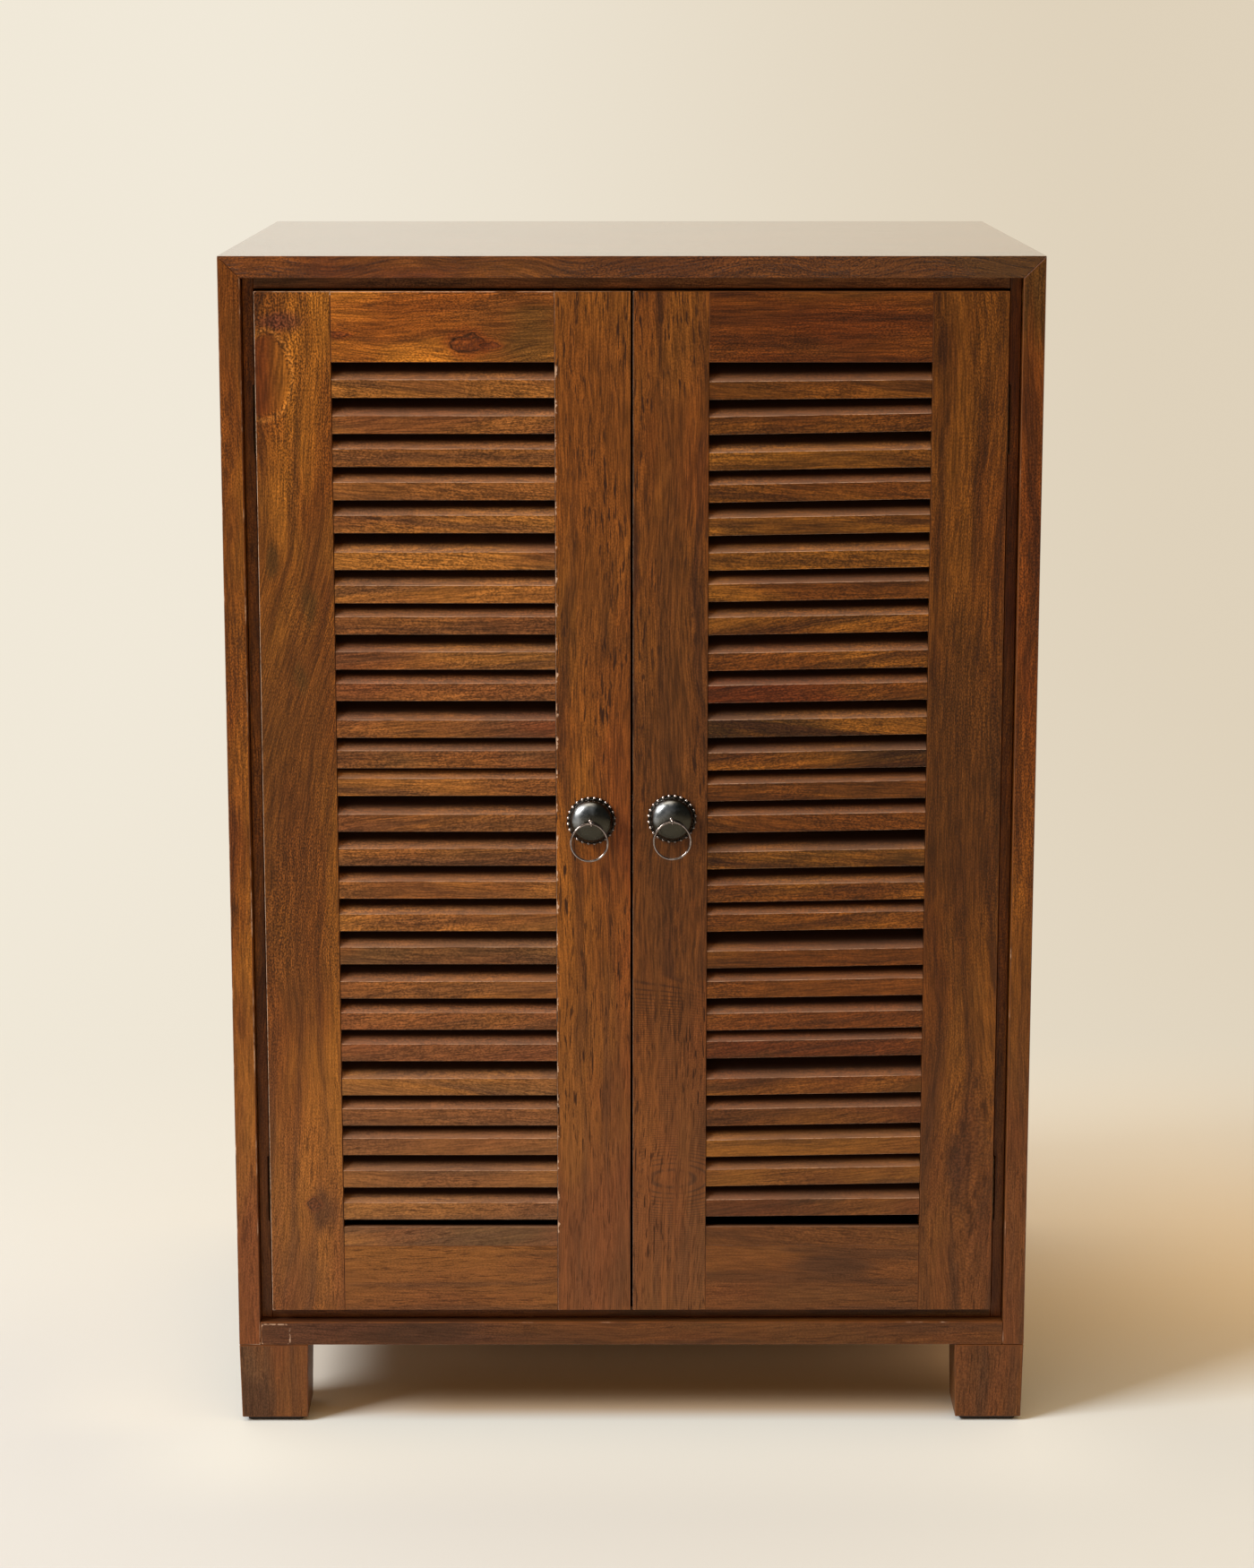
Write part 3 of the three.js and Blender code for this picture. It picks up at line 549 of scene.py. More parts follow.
def lay_smooth_spots(graph, colour, life, along, across, quick, spots):
    """Smooth spots: redder and calmer, golden on the right flank, with a pale rim."""
    for spot in spots:
        side, half_width = spot[1], spot[3]
        ragged = graph.add(spread(graph, along, across, spot), graph.swing(quick, SMOOTH_RAGGED))
        inside = graph.fade(ragged, *SMOOTH_INSIDE)
        rim = graph.fade(graph.apart(ragged, SMOOTH_RIM_PLACE), *SMOOTH_RIM)
        start, end = (share * half_width for share in SMOOTH_FLANK)
        flank = graph.fade(graph.less(across, side), start, end, 0.0, SMOOTH_GOLD)
        colour = graph.mix(graph.times(inside, SMOOTH_RED), colour, RED_BROWN)
        colour = graph.mix(graph.times(inside, flank), colour, GOLD)
        colour = graph.mix(rim, colour, PALE_RIM)
        life = graph.times(life, graph.fade(inside, 0.0, 1.0, 1.0, SMOOTH_LIFE))
    return colour, life


def brightness(graph, speck, hair, thread, life, grain):
    """Light and dark along the fibres: sparkling specks, soft threads, and painted light that
    brightens the wood towards the foot.
    """
    calm = graph.fade(graph.z, *CALM_HEIGHTS, CALM_AT_FOOT, 1.0)
    dim, bright = (light * grain.specks for light in SPECK_LIGHT)
    sparkle = graph.fade(speck, *SPECK_FADE, dim, bright)
    sparkle = graph.add(graph.times(graph.times(sparkle, life), calm), 1.0)
    soft = graph.times(graph.fade(thread, *THREAD_FADE), graph.fade(hair, *HAIR_FADE))
    soft = graph.add(graph.times(graph.less(soft, 1.0), calm), 1.0)
    # Painted light: the wood brightens towards the foot and darkens towards the top.
    painted_light = graph.fade(graph.z, *PAINTED_LIGHT_HEIGHTS, 1 - PAINTED_FOOT_LIGHT, 1 + PAINTED_FOOT_LIGHT)
    return graph.times(graph.times(graph.times(sparkle, soft), grain.light * WOOD_LIGHT), painted_light)


def lay_grain(graph, along, across, depth, grain, tones):
    """Colour, roughness and relief of stained hardwood, from a place along and across its fibres.

    Tones are the board's gold, red and dark, and the shift that sets its grain apart.
    """
    gold, red, dark, shift = tones
    shift_across = graph.times(shift, SHIFT_SHARE)
    here = graph.join(graph.add(along, shift), graph.add(across, shift_across), depth)
    slow = graph.noise(here, *SLOW_BEND)
    quick = graph.noise(here, *QUICK_BEND)
    flow = bend_fibres(graph, along, across, here, slow, quick, grain)
    flow = graph.add(flow, shift_across)
    fibre = graph.join(graph.add(along, shift), flow, depth)

    speck = graph.noise(fibre, *SPECK)
    dash = graph.noise(fibre, *DASH)
    hair = graph.noise(fibre, *HAIR)
    thread = graph.noise(fibre, *THREAD)
    streak = graph.noise(fibre, *STREAK)
    ring = growth_rings(graph, along, across, flow, slow, quick, grain)
    ring = graph.times(graph.fade(ring, *RING_FADE), graph.fade(streak, *RING_STREAK_FADE))

    patch = graph.noise(here, *PATCH)
    cloud = graph.noise(graph.join(across, along, depth), *CLOUD)
    shadow = graph.noise(here, *SHADOW)
    streaked = graph.times(graph.fade(streak, *STREAK_FADE), graph.times(dark, STREAK_SHARE))
    colour = graph.mix(graph.times(graph.fade(patch, *GOLD_FADE), gold), BROWN, GOLD)
    colour = graph.mix(graph.times(graph.fade(cloud, *RED_FADE), red), colour, RED_BROWN)
    colour = graph.mix(graph.times(graph.fade(shadow, *OLIVE_FADE), dark), colour, OLIVE_BROWN)
    colour = graph.mix(streaked, colour, DARK_BROWN)
    colour = graph.mix(graph.times(ring, grain.lines), colour, DARK_BROWN)
    for stain in grain.stains:
        ragged = graph.add(spread(graph, along, across, stain), graph.swing(streak, STAIN_RAGGED))
        colour = graph.mix(graph.fade(ragged, *STAIN_FADE), colour, stain[4])
    if grain.knots:
        colour = lay_knots(graph, colour, along, across, here, dash, grain.knots)
    life = graph.fade(graph.noise(here, *LIVELY), *LIVELY_FADE)
    colour, life = lay_smooth_spots(graph, colour, life, along, across, quick, grain.smooth)

    faded = graph.add(graph.fade(graph.z, *FADED_HEIGHTS, 0.0, FADED_AT_FOOT), grain.faded)
    colour = graph.mix(faded, colour, FADED)
    bright = brightness(graph, speck, hair, thread, life, grain)
    colour = graph.mix(1.0, colour, graph.grey(bright), "MULTIPLY")
    mark = graph.times(graph.times(graph.fade(dash, *DASH_FADE), grain.dashes), life)
    colour = graph.mix(mark, colour, PORE)
    smooth, rough = (share * grain.polish for share in WOOD_ROUGHNESS)
    dull = graph.add(speck, graph.times(mark, PORE_DULL))
    roughness = graph.fade(dull, *GLOSS_FADE, smooth, rough)
    relief = graph.add(graph.times(speck, SPECK_RELIEF), graph.times(hair, HAIR_RELIEF))
    relief = graph.less(relief, mark)
    return colour, roughness, relief


def varnished(graph, colour, roughness, relief, grain):
    return graph.surface(
        Base_Color=colour, Roughness=roughness,
        Normal=graph.bump(relief, GRAIN_HEIGHT, GRAIN_STRENGTH),
        Specular_IOR_Level=grain.level, Coat_Weight=grain.coat, Coat_Roughness=COAT_ROUGHNESS,
    )


def outline_plug(graph, colour, crumbs, plug):
    """The broken, pale outline of a patch let into a board."""
    middle_x, middle_z, half_breadth, half_height, corner = plug
    aside = graph.less(graph.apart(graph.x, middle_x), half_breadth - corner)
    above = graph.less(graph.apart(graph.z, middle_z), half_height - corner)
    aside = graph.maths("MAXIMUM", aside, 0.0)
    above = graph.maths("MAXIMUM", above, 0.0)
    line = graph.fade(graph.apart(graph.length(aside, above), corner), *PLUG_LINE, 0.6, 0.0)
    return graph.mix(graph.times(line, graph.fade(crumbs, 0.4, 0.55)), colour, WEAR_AND_HIGHLIGHT)


def paint_opening_highlights(graph, colour, crumbs, left_end, louvre):
    """Painted highlights on a stile's left side, one beside each opening of the louvre, where the
    stile's lit arris shows.
    """
    low, high = louvre[:2]
    turn = graph.maths("DIVIDE", graph.less(high, graph.z), slat_pitch(low, high))
    beside = graph.times(
        graph.band(graph.maths("FRACT", turn), *OPENING_HIGHLIGHT_TURNS),
        graph.band(graph.z, (low, low + MM), (high - MM, high)),
    )
    edge = graph.add(graph.less(graph.x, left_end), graph.swing(crumbs, OPENING_HIGHLIGHT_RAGGED))
    close = graph.fade(edge, *OPENING_HIGHLIGHT_REACH, 0.75, 0.0)
    return graph.mix(graph.times(beside, close), colour, WEAR_AND_HIGHLIGHT)


def wood(name, grain):
    """A board's material. Across goes on round the front arris, so wide faces have grain too."""
    graph = Graph(name + "_wood")
    front_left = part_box(name)[0]
    inwards = graph.less(graph.y, front_left.y)
    if grain.runs == "Y":
        along, across, depth = graph.y, graph.x, graph.z
    elif grain.runs == "X":
        along, across, depth = graph.x, graph.add(graph.z, inwards), graph.y
    else:
        along, across, depth = graph.z, graph.add(graph.x, inwards), graph.y
    gold = graph.fade(inwards, *GOLD_DEPTHS, grain.gold, grain.gold * GOLD_INSIDE)
    tones = (gold, grain.red, grain.dark, grain.seed)
    colour, roughness, relief = lay_grain(graph, along, across, depth, grain, tones)
    if grain.plugs or grain.painted_highlight_door:
        crumbs = graph.grit(*CRUMB)
    for plug in grain.plugs:
        colour = outline_plug(graph, colour, crumbs, plug)
    # Painted highlights on the stile's left arris beside each louvre opening.
    if grain.painted_highlight_door:
        colour = paint_opening_highlights(graph, colour, crumbs, front_left.x, louvre_of(grain.painted_highlight_door))
    return varnished(graph, colour, roughness, relief, grain)


def louvre_of(word):
    """Low and high ends of a door's louvre, its middle line, and its front face."""
    top_low, top_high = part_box(f"{word}_door_top_rail")
    bottom_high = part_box(f"{word}_door_bottom_rail")[1]
    return bottom_high.z, top_low.z, (top_low.x + top_high.x) / 2, top_low.y


def slat_pitch(low, high):
    return (high - low - SILL_HEIGHT - SILL_GAP) / SLAT_COUNT


def slat_wood(name, side, louvre):
    """Each slat is a board of its own: its number, counted down the door, sets its tones."""
    low, high, middle, front = louvre
    pitch = slat_pitch(low, high)
    graph = Graph(name)
    inwards = graph.less(graph.y, front)
    rise = graph.times(inwards, math.tan(SLAT_SLOPE))
    drift = graph.times(graph.less(graph.x, middle), math.tan(SLAT_TILT[side]))
    level = graph.less(graph.less(graph.z, rise), drift)
    turn = graph.less(graph.maths("DIVIDE", graph.less(high, level), pitch), SLAT_TOP_SHARE)
    number = graph.maths("FLOOR", turn)
    first, second, third = graph.chance(graph.add(number, SLAT_SEED[side]))
    tones = (
        graph.fade(first, *SLAT_GOLD),
        graph.fade(second, *SLAT_RED),
        graph.fade(third, *SLAT_DARK),
        graph.times(number, SLAT_SHIFT),
    )
    skew = graph.times(graph.less(second, 0.5), graph.times(graph.x, SLAT_SKEW))
    across = graph.add(graph.times(turn, pitch), skew)
    grain = Grain("X", 0, wander=0.012, lines=0.55, light=SLAT_LIGHT[side], faded=SLAT_FADED[side])
    colour, roughness, relief = lay_grain(graph, graph.x, across, graph.y, grain, tones)
    up = graph.split(graph.facing)[2]
    upward = graph.fade(up, *SLAT_UPWARD)
    # Dust and painted sheen: the upward faces of the slats grey most at the front of each slope,
    # where the light's sheen would fall.
    colour = graph.mix(graph.times(upward, graph.fade(inwards, *SLAT_DUST_AND_SHEEN)), colour, DUST_AND_SHEEN)
    # Painted shade: the back of each slope darkens below the slat above, where it would be shaded.
    colour = graph.mix(graph.times(upward, graph.fade(inwards, *SLAT_SHADE)), colour, SHADE)
    under, over = (
        graph.fade(graph.apart(up, tilt), *reach)
        for tilt, reach in (SLAT_UNDER_EDGE, SLAT_UPPER_EDGE)
    )
    # Wear and painted highlight on the slats' front arrises.
    wear_and_highlight = wear_and_highlight_share(graph, graph.maths("MAXIMUM", under, over))
    colour = graph.mix(graph.times(wear_and_highlight, graph.fade(inwards, *SLAT_FRONT)), colour, WEAR_AND_HIGHLIGHT)
    return varnished(graph, colour, roughness, relief, grain)


def wear_and_highlight_share(graph, strength):
    """Where an arris has lost its stain or carries a painted highlight: in runs, broken by small
    chips.
    """
    share = graph.fade(graph.add(graph.grit(*WEAR_AND_HIGHLIGHT_RUN), strength), *WEAR_AND_HIGHLIGHT_FADE)
    return graph.times(share, graph.fade(graph.grit(*WEAR_AND_HIGHLIGHT_CHIP), *WEAR_AND_HIGHLIGHT_CHIP_FADE))


def board_arris(name, grain, box):
    """The arrises of a board: near its own tone, and pale on the sides that are worn or carry a
    painted highlight.
    """
    graph = Graph(name)
    low, high = box
    sides = {
        "left": (graph.x, low.x), "right": (graph.x, high.x),
        "top": (graph.z, high.z), "bottom": (graph.z, low.z),
    }
    strength = ARRIS_WEAR
    # Each listed side gets extra wear and painted highlight along its arris.
    for side, side_share in grain.wear_and_highlight.items():
        near = graph.fade(graph.apart(*sides[side]), *ARRIS_REACH, side_share, 0.0)
        strength = graph.maths("MAXIMUM", near, strength)
    dark = graph.fade(graph.grit(*ARRIS_TONE), *ARRIS_DARK)
    colour = graph.mix(dark, BROWN, DARK_BROWN)
    colour = graph.mix(wear_and_highlight_share(graph, strength), colour, WEAR_AND_HIGHLIGHT)
    return graph.surface(Base_Color=colour, Roughness=0.4, Specular_IOR_Level=0.4)


def metal(name, colour, stain, roughness, waves):
    graph = Graph(name)
    cloud = graph.grit(waves, 4, 0.6)
    tint = graph.mix(graph.fade(cloud, 0.4, 0.7), colour, stain)
    rough = graph.add(cloud, graph.times(graph.grit(*METAL_GRIT), 0.3))
    rough = graph.fade(rough, 0.4, 0.95, roughness * 0.75, roughness * 1.6)
    return graph.surface(
        Base_Color=tint, Metallic=1.0, Roughness=rough,
        Normal=graph.bump(cloud, METAL_RELIEF, 0.35),
    )


def moulded(name, colour, roughness):
    graph = Graph(name)
    skin = graph.grit(*MOULD_SKIN)
    tint = graph.mix(graph.fade(skin, 0.3, 0.7, 0.0, 0.35), colour, MOULD_STAIN)
    rough = graph.fade(skin, 0.3, 0.7, roughness * 0.85, roughness)
    return graph.surface(
        Base_Color=tint, Roughness=rough, Normal=graph.bump(skin, MOULD_RELIEF, 0.6),
    )


def set_materials(piece, *materials):
    piece.data.materials.clear()
    for material in materials:
        piece.data.materials.append(material)


def ease_edges(piece, width, wear_and_highlight, segments=2):
    """Rounds a CAD piece's arrises without touching its mesh; if asked, the rounded faces get its
    second material, which holds wear and painted highlights.
    """
    weld = piece.modifiers.new("weld", "WELD")
    weld.merge_threshold = WELD_REACH
    flatten = piece.modifiers.new("flatten", "DECIMATE")
    flatten.decimate_type = "DISSOLVE"
    flatten.angle_limit = FLAT_ANGLE
    ease = piece.modifiers.new("ease", "BEVEL")
    ease.width = width
    ease.segments = segments
    ease.limit_method = "ANGLE"
    ease.angle_limit = ARRIS_ANGLE
    ease.material = 1 if wear_and_highlight else -1
    normals = piece.modifiers.new("normals", "WEIGHTED_NORMAL")
    normals.weight = 100


def node(name):
    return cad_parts[name]


def middle_of(name):
    low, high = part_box(name)
    return (low + high) / 2


# Grain of the case's boards
CASE_GRAINS = {
    "top_panel": Grain(
        "X", 3.1, gold=0.4, red=0.8, dark=0.3, curl=0.04, level=0.5, polish=0.4, coat=0.7,
        light=0.96, wear_and_highlight={"top": 0.6}, stains=(
            (0.2, 0.895, 0.33, 0.08, UMBER),
            (0.3, 0.895, 0.12, 0.05, OLIVE_BROWN),
            (-0.31, 0.895, 0.06, 0.05, BROWN),
        ),
    ),
    "bottom_panel": Grain(
        "X", 8.4, gold=0.2, red=0.6, dark=0.5, light=0.67, wear_and_highlight={"top": 0.22},
        stains=((-0.2, 0.07, 0.15, 0.04, PLUM_BROWN), (-0.16, 0.074, 0.06, 0.012, DARK_BROWN)),
        plugs=((-0.2768, 0.0714, 0.0112, 0.0083, 0.003),),
    ),
    "left_side_panel": Grain(
        "Z", 1.7, gold=0.7, red=0.55, dark=0.3, wear_and_highlight={"left": 0.3, "right": 0.3, "bottom": 0.45},
        stains=((0.1, -0.298, 0.14, 0.06, RED_BROWN), (0.91, -0.298, 0.05, 0.05, BROWN)),
    ),
    "right_side_panel": Grain(
        "Z", 5.9, gold=0.35, red=0.6, dark=0.4, light=0.87, wear_and_highlight={"left": 0.22},
        stains=((0.9, 0.297, 0.07, 0.06, OLIVE_BROWN),),
    ),
    "back_panel": Grain("Z", 2.6, gold=0.4, red=0.3, dark=0.4),
    "left_channel_strip": Grain("Z", 4.2, gold=0.2, red=0.8, dark=0.4, light=1.15),
    "right_channel_strip": Grain("Z", 7.3, gold=0.2, red=0.9, dark=0.4),
    "top_channel_strip": Grain("X", 6.6, gold=0.2, red=0.5, dark=0.6, light=1.3, faded=0.3),
    "bottom_channel_strip": Grain("X", 9.5, gold=0.0, red=0.3, dark=0.8, light=0.7),
    "shelf": Grain("X", 2.2, gold=0.5, red=0.3, dark=0.3),
    "left_shelf_cleat": Grain("Y", 3.3, gold=0.4, red=0.3, dark=0.4),
    "right_shelf_cleat": Grain("Y", 4.4, gold=0.4, red=0.3, dark=0.4),
    "front_left_foot": Grain(
        "Z", 6.1, gold=0.05, red=0.8, dark=0.2, light=0.92,
        stains=(
            (0.030, -0.302, 0.07, 0.026, GREY_BROWN),
            (0.016, -0.296, 0.026, 0.024, DARK_BROWN),
        ),
    ),
    "front_right_foot": Grain("Z", 7.7, gold=0.1, red=0.5, dark=0.4, light=0.8),
    "rear_left_foot": Grain("Z", 8.8, gold=0.2, red=0.5, dark=0.4),
    "rear_right_foot": Grain("Z", 9.9, gold=0.2, red=0.5, dark=0.4),
}

# Grain of the doors' boards
DOOR_GRAINS = {
    "left_door_hinge_stile": Grain(
        "Z", 1.3, gold=0.75, red=0.5, dark=0.35, wander=0.03, curl=0.03, specks=0.9, dashes=0.5,
        slants=((0.56, 0.2, 0.22),),
        knots=((0.177, -0.2455, 0.0055, 0.0042, 1.0),),
        smooth=((0.815, -0.271, 0.032, 0.020),),
        stains=(
            (0.5, -0.256, 0.2, 0.06, UMBER),
            (0.676, -0.268, 0.016, 0.006, OLIVE_BROWN),
            (0.644, -0.242, 0.018, 0.007, OLIVE_BROWN),
            (0.588, -0.248, 0.014, 0.006, OLIVE_BROWN),
            (0.855, -0.262, 0.009, 0.022, PLUM_BROWN),
            (0.172, -0.2375, 0.022, 0.014, DARK_BROWN),
        ),
        wear_and_highlight={"left": 0.55, "top": 0.55},
    ),
    "left_door_meeting_stile": Grain(
        "Z", 2.9, gold=0.34, red=0.72, dark=0.3, wander=0.012, specks=0.3, dashes=1.0, faded=0.05,
        painted_highlight_door="left", wear_and_highlight={"left": 0.55, "top": 0.4},
        stains=((0.76, -0.03, 0.12, 0.05, BROWN),),
    ),
    "left_door_top_rail": Grain(
        "X", 3.7, gold=1.0, red=0.25, dark=0.15, curl=0.025, light=1.55,
        knots=(
            (-0.1215, 0.839, 0.015, 0.007, 1.0),
            (-0.1045, 0.8372, 0.008, 0.0028, 0.9),
            (-0.217, 0.8455, 0.009, 0.0022, 0.9),
        ),
        stains=((-0.088, 0.85, 0.05, 0.04, UMBER), (-0.072, 0.84, 0.026, 0.03, OLIVE_BROWN)),
        wear_and_highlight={"top": 0.5},
    ),
    "left_door_bottom_rail": Grain(
        "X", 4.9, gold=0.45, red=0.4, dark=0.2, specks=0.5, dashes=0.6, curl=0.02,
        light=0.92, faded=0.04,
    ),
    "right_door_hinge_stile": Grain(
        "Z", 5.3, gold=0.35, red=0.5, dark=0.45, wander=0.03, light=0.69,
        knots=((0.205, 0.262, 0.05, 0.016, 0.35),),
        stains=(
            (0.835, 0.229, 0.028, 0.006, DARK_BROWN),
            (0.5, 0.25, 0.16, 0.05, UMBER),
            (0.208, 0.25, 0.025, 0.008, DARK_BROWN),
        ),
    ),
    "right_door_meeting_stile": Grain(
        "Z", 6.7, gold=0.3, red=0.45, dark=0.3, specks=0.3, dashes=1.0, light=0.96,
        lines=0.85, faded=0.05,
        arches=((0.2, 0.031, 0.16, -38.0),), wear_and_highlight={"left": 0.5},
        stains=((0.5, 0.03, 0.24, 0.05, UMBER),),
    ),
    "right_door_top_rail": Grain("X", 7.9, gold=0.35, red=0.7, dark=0.6, light=0.8),
    "right_door_bottom_rail": Grain(
        "X", 8.1, gold=0.35, red=0.4, dark=0.4, light=0.8,
        stains=((0.158, 0.128, 0.035, 0.014, DARK_BROWN),),
    ),
}


def dress_boards(grains, width):
    for name, grain in grains.items():
        edges = board_arris(name + "_arris", grain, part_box(name))
        set_materials(node(name), wood(name, grain), edges)
        ease_edges(node(name), width, wear_and_highlight=True)


def dress_slats():
    for side, word in ((LEFT, "left"), (RIGHT, "right")):
        slats = slat_wood(word + "_slat_wood", side, louvre_of(word))
        for place in ("upper", "middle", "lower"):
            piece = node(f"{word}_door_{place}_slats")
            set_materials(piece, slats)
            ease_edges(piece, SLAT_ROUND, wear_and_highlight=False, segments=3)


def dress_hardware():
    bronze = metal("hinge_bronze", *HINGE_BRONZE)
    zinc = metal("zinc_plate", *ZINC_PLATE)
    plastic = moulded("catch_plastic", *CATCH_PLASTIC)
    rubber = moulded("pad_rubber", *PAD_RUBBER)
    for endings, material, width in (
        (("_leaf", "_hinge_pin"), bronze, METAL_ROUND),
        (("_strike_plate", "_pull_nut"), zinc, METAL_ROUND),
        ("_magnet_catch", plastic, JOINT_ROUND),
        ("_foot_pad", rubber, JOINT_ROUND),
    ):
        for name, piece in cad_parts.items():
            if name.endswith(endings):
                set_materials(piece, material)
                ease_edges(piece, width, wear_and_highlight=False)


# Pulls: made about their own centre with +Z ahead, then stood up to face the front
FACE_FRONT = Matrix(((1, 0, 0, 0), (0, 0, -1, 0), (0, 1, 0, 0), (0, 0, 0, 1)))


def new_piece(name, mesh_data, *materials):
    data = bpy.data.meshes.new(name)
    mesh_data.to_mesh(data)
    mesh_data.free()
    for polygon in data.polygons:
        polygon.use_smooth = True
    piece = bpy.data.objects.new(name, data)
    bpy.context.scene.collection.objects.link(piece)
    for material in materials:
        data.materials.append(material)
    return piece


def turns(steps, start=0.0):
    """Angles of a full turn in even steps."""
    return [2 * math.pi * (step + start) / steps for step in range(steps)]


def lathe(mesh, profile, sides):
    """Turns a profile of (radius, height) points about +Z; points on the axis close it."""
    rows = []
    for radius, height in profile:
        around = turns(sides) if radius else [0.0]
        rows.append([
            mesh.verts.new((radius * math.cos(turn), radius * math.sin(turn), height))
            for turn in around
        ])
    for lower, upper in zip(rows, rows[1:]):
        for step in range(sides):
            after = (step + 1) % sides
            corners = [lower[step % len(lower)], lower[after % len(lower)]]
            corners += [upper[after % len(upper)], upper[step % len(upper)]]
            mesh.faces.new(list(dict.fromkeys(corners)))


def ball(mesh, centre, radius, slot):
    made = bmesh.ops.create_uvsphere(
        mesh, u_segments=18, v_segments=12, radius=radius, matrix=Matrix.Translation(centre),
    )
    for corner in made["verts"]:
        for face in corner.link_faces:
            face.material_index = slot


def tube(mesh, centres, normals, radius, sides):
    """A closed tube through a loop of centres; normals point away from the loop's middle."""
    rows = []
    for centre, normal in zip(centres, normals):
        rows.append([])
        for turn in turns(sides):
            offset = normal * math.cos(turn) + Vector((0, 0, 1)) * math.sin(turn)
            rows[-1].append(mesh.verts.new(centre + offset * radius))
    for row, following in zip(rows, rows[1:] + rows[:1]):
        for step in range(sides):
            after = (step + 1) % sides
            mesh.faces.new([row[step], following[step], following[after], row[after]])


def pull_centre(word):
    """The pull's centre on the door's face."""
    middle = middle_of(f"{word}_pull_rosette")
    return Vector((middle.x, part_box(f"{word}_door_meeting_stile")[0].y, middle.z))


def stand(mesh, word):
    bmesh.ops.recalc_face_normals(mesh, faces=mesh.faces)
    place = Matrix.Translation(pull_centre(word)) @ FACE_FRONT
    bmesh.ops.transform(mesh, matrix=place, verts=mesh.verts)


def dome_profile(steps):
    """Fuller than an ellipse: flatter on top and steeper near its rim."""
    rise = DOME_TOP - RIM_THICKNESS
    profile = [(0, DOME_TOP)]
    for step in range(1, steps + 1):
        turn = math.pi / 2 * (step / steps) ** DOME_CROWDING
        breadth = abs(math.sin(turn)) ** DOME_FULLNESS
        height = abs(math.cos(turn)) ** DOME_FULLNESS
        profile.append((DOME_RADIUS * breadth, RIM_THICKNESS + rise * height))
    return profile


def rosette(word, *materials):
    mesh = bmesh.new()
    ease, middle = RIM_EASE
    rim = [
        (RIM_RADIUS - ease, RIM_THICKNESS),
        (RIM_RADIUS - middle, RIM_THICKNESS - middle),
        (RIM_RADIUS, RIM_THICKNESS - ease),
        (RIM_RADIUS, RIM_BACK),
        (0, RIM_BACK),
    ]
    lathe(mesh, dome_profile(DOME_STEPS) + rim, DOME_SIDES)
    for face in mesh.faces:
        face.material_index = 2 if face.calc_center_median().z < GRIME_TOP else 0
    for turn in turns(BEAD_COUNT, 0.5):
        place = (BEAD_CIRCLE * math.cos(turn), BEAD_CIRCLE * math.sin(turn), RIM_THICKNESS)
        ball(mesh, place, BEAD_RADIUS, slot=1)
    stand(mesh, word)
    piece = new_piece(f"{word}_rosette", mesh, *materials)
    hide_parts(f"{word}_pull_rosette")
    return piece


def eye(word, *materials):
    """An eye on a turned neck, with a small ball on top. Its bore lies along the ring's hinge."""
    mesh = bmesh.new()
    tail = middle_of(f"{word}_pull_eye_bolt").y * 2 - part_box(f"{word}_pull_eye_bolt")[0].y
    back = pull_centre(word).y - tail
    neck = EYE_AHEAD - EYE_LOOP - EYE_WIRE * NECK_SINK
    lathe(mesh, [
        (0, back),
        (1.35 * MM, back),
        (1.55 * MM, back + 0.3 * MM),
        (1.55 * MM, DOME_TOP - 0.4 * MM),
        (2.1 * MM, DOME_TOP - 0.3 * MM),
        (2.1 * MM, DOME_TOP + 0.1 * MM),
        (1.0 * MM, DOME_TOP + 0.4 * MM),
        (0.85 * MM, neck),
        (0, neck),
    ], NECK_SIDES)
    ball(mesh, (*EYE_BALL_PLACE, EYE_AHEAD), EYE_BALL_RADIUS, slot=1)
    normals = [Vector((math.cos(turn), math.sin(turn), 0)) for turn in turns(EYE_STEPS)]
    loop = bmesh.new()
    tube(loop, [normal * EYE_LOOP for normal in normals], normals, EYE_WIRE, EYE_SIDES)
    turn_up = Matrix.Translation((0, 0, EYE_AHEAD)) @ Matrix.Rotation(math.pi / 2, 4, "Y")
    bmesh.ops.transform(loop, matrix=turn_up, verts=loop.verts)
    scratch = bpy.data.meshes.new("loop")
    loop.to_mesh(scratch)
    loop.free()
    mesh.from_mesh(scratch)
    bpy.data.meshes.remove(scratch)
    stand(mesh, word)
    piece = new_piece(f"{word}_eye", mesh, *materials)
    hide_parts(f"{word}_pull_eye_bolt")
    return piece


def ring_reach(angle):
    """Distance of the wire from the ring's middle: round, but for a slight neck at its top."""
    share = (RING_NECK_END - abs(angle)) / (RING_NECK_END - RING_NECK_START)
    share = min(max(share, 0), 1)
    return RING_RADIUS + RING_NECK * share * share * (3 - 2 * share)


def ring(word, material):
    mesh = bmesh.new()
    middle = Vector((0, -RING_RADIUS - RING_NECK, EYE_AHEAD))
    centres, normals = [], []
    for turn in turns(RING_STEPS):
        angle = turn - math.pi
        normals.append(Vector((math.sin(angle), math.cos(angle), 0)))
        centres.append(middle + normals[-1] * ring_reach(angle))
    tube(mesh, centres, normals, RING_WIRE, RING_SIDES)
    lean = Matrix.Rotation(-RING_LEAN[word], 4, "Z")
    bmesh.ops.transform(mesh, matrix=lean, verts=mesh.verts)
    stand(mesh, word)
    piece = new_piece(f"{word}_ring", mesh, material)
    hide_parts(f"{word}_pull_ring")
    return piece


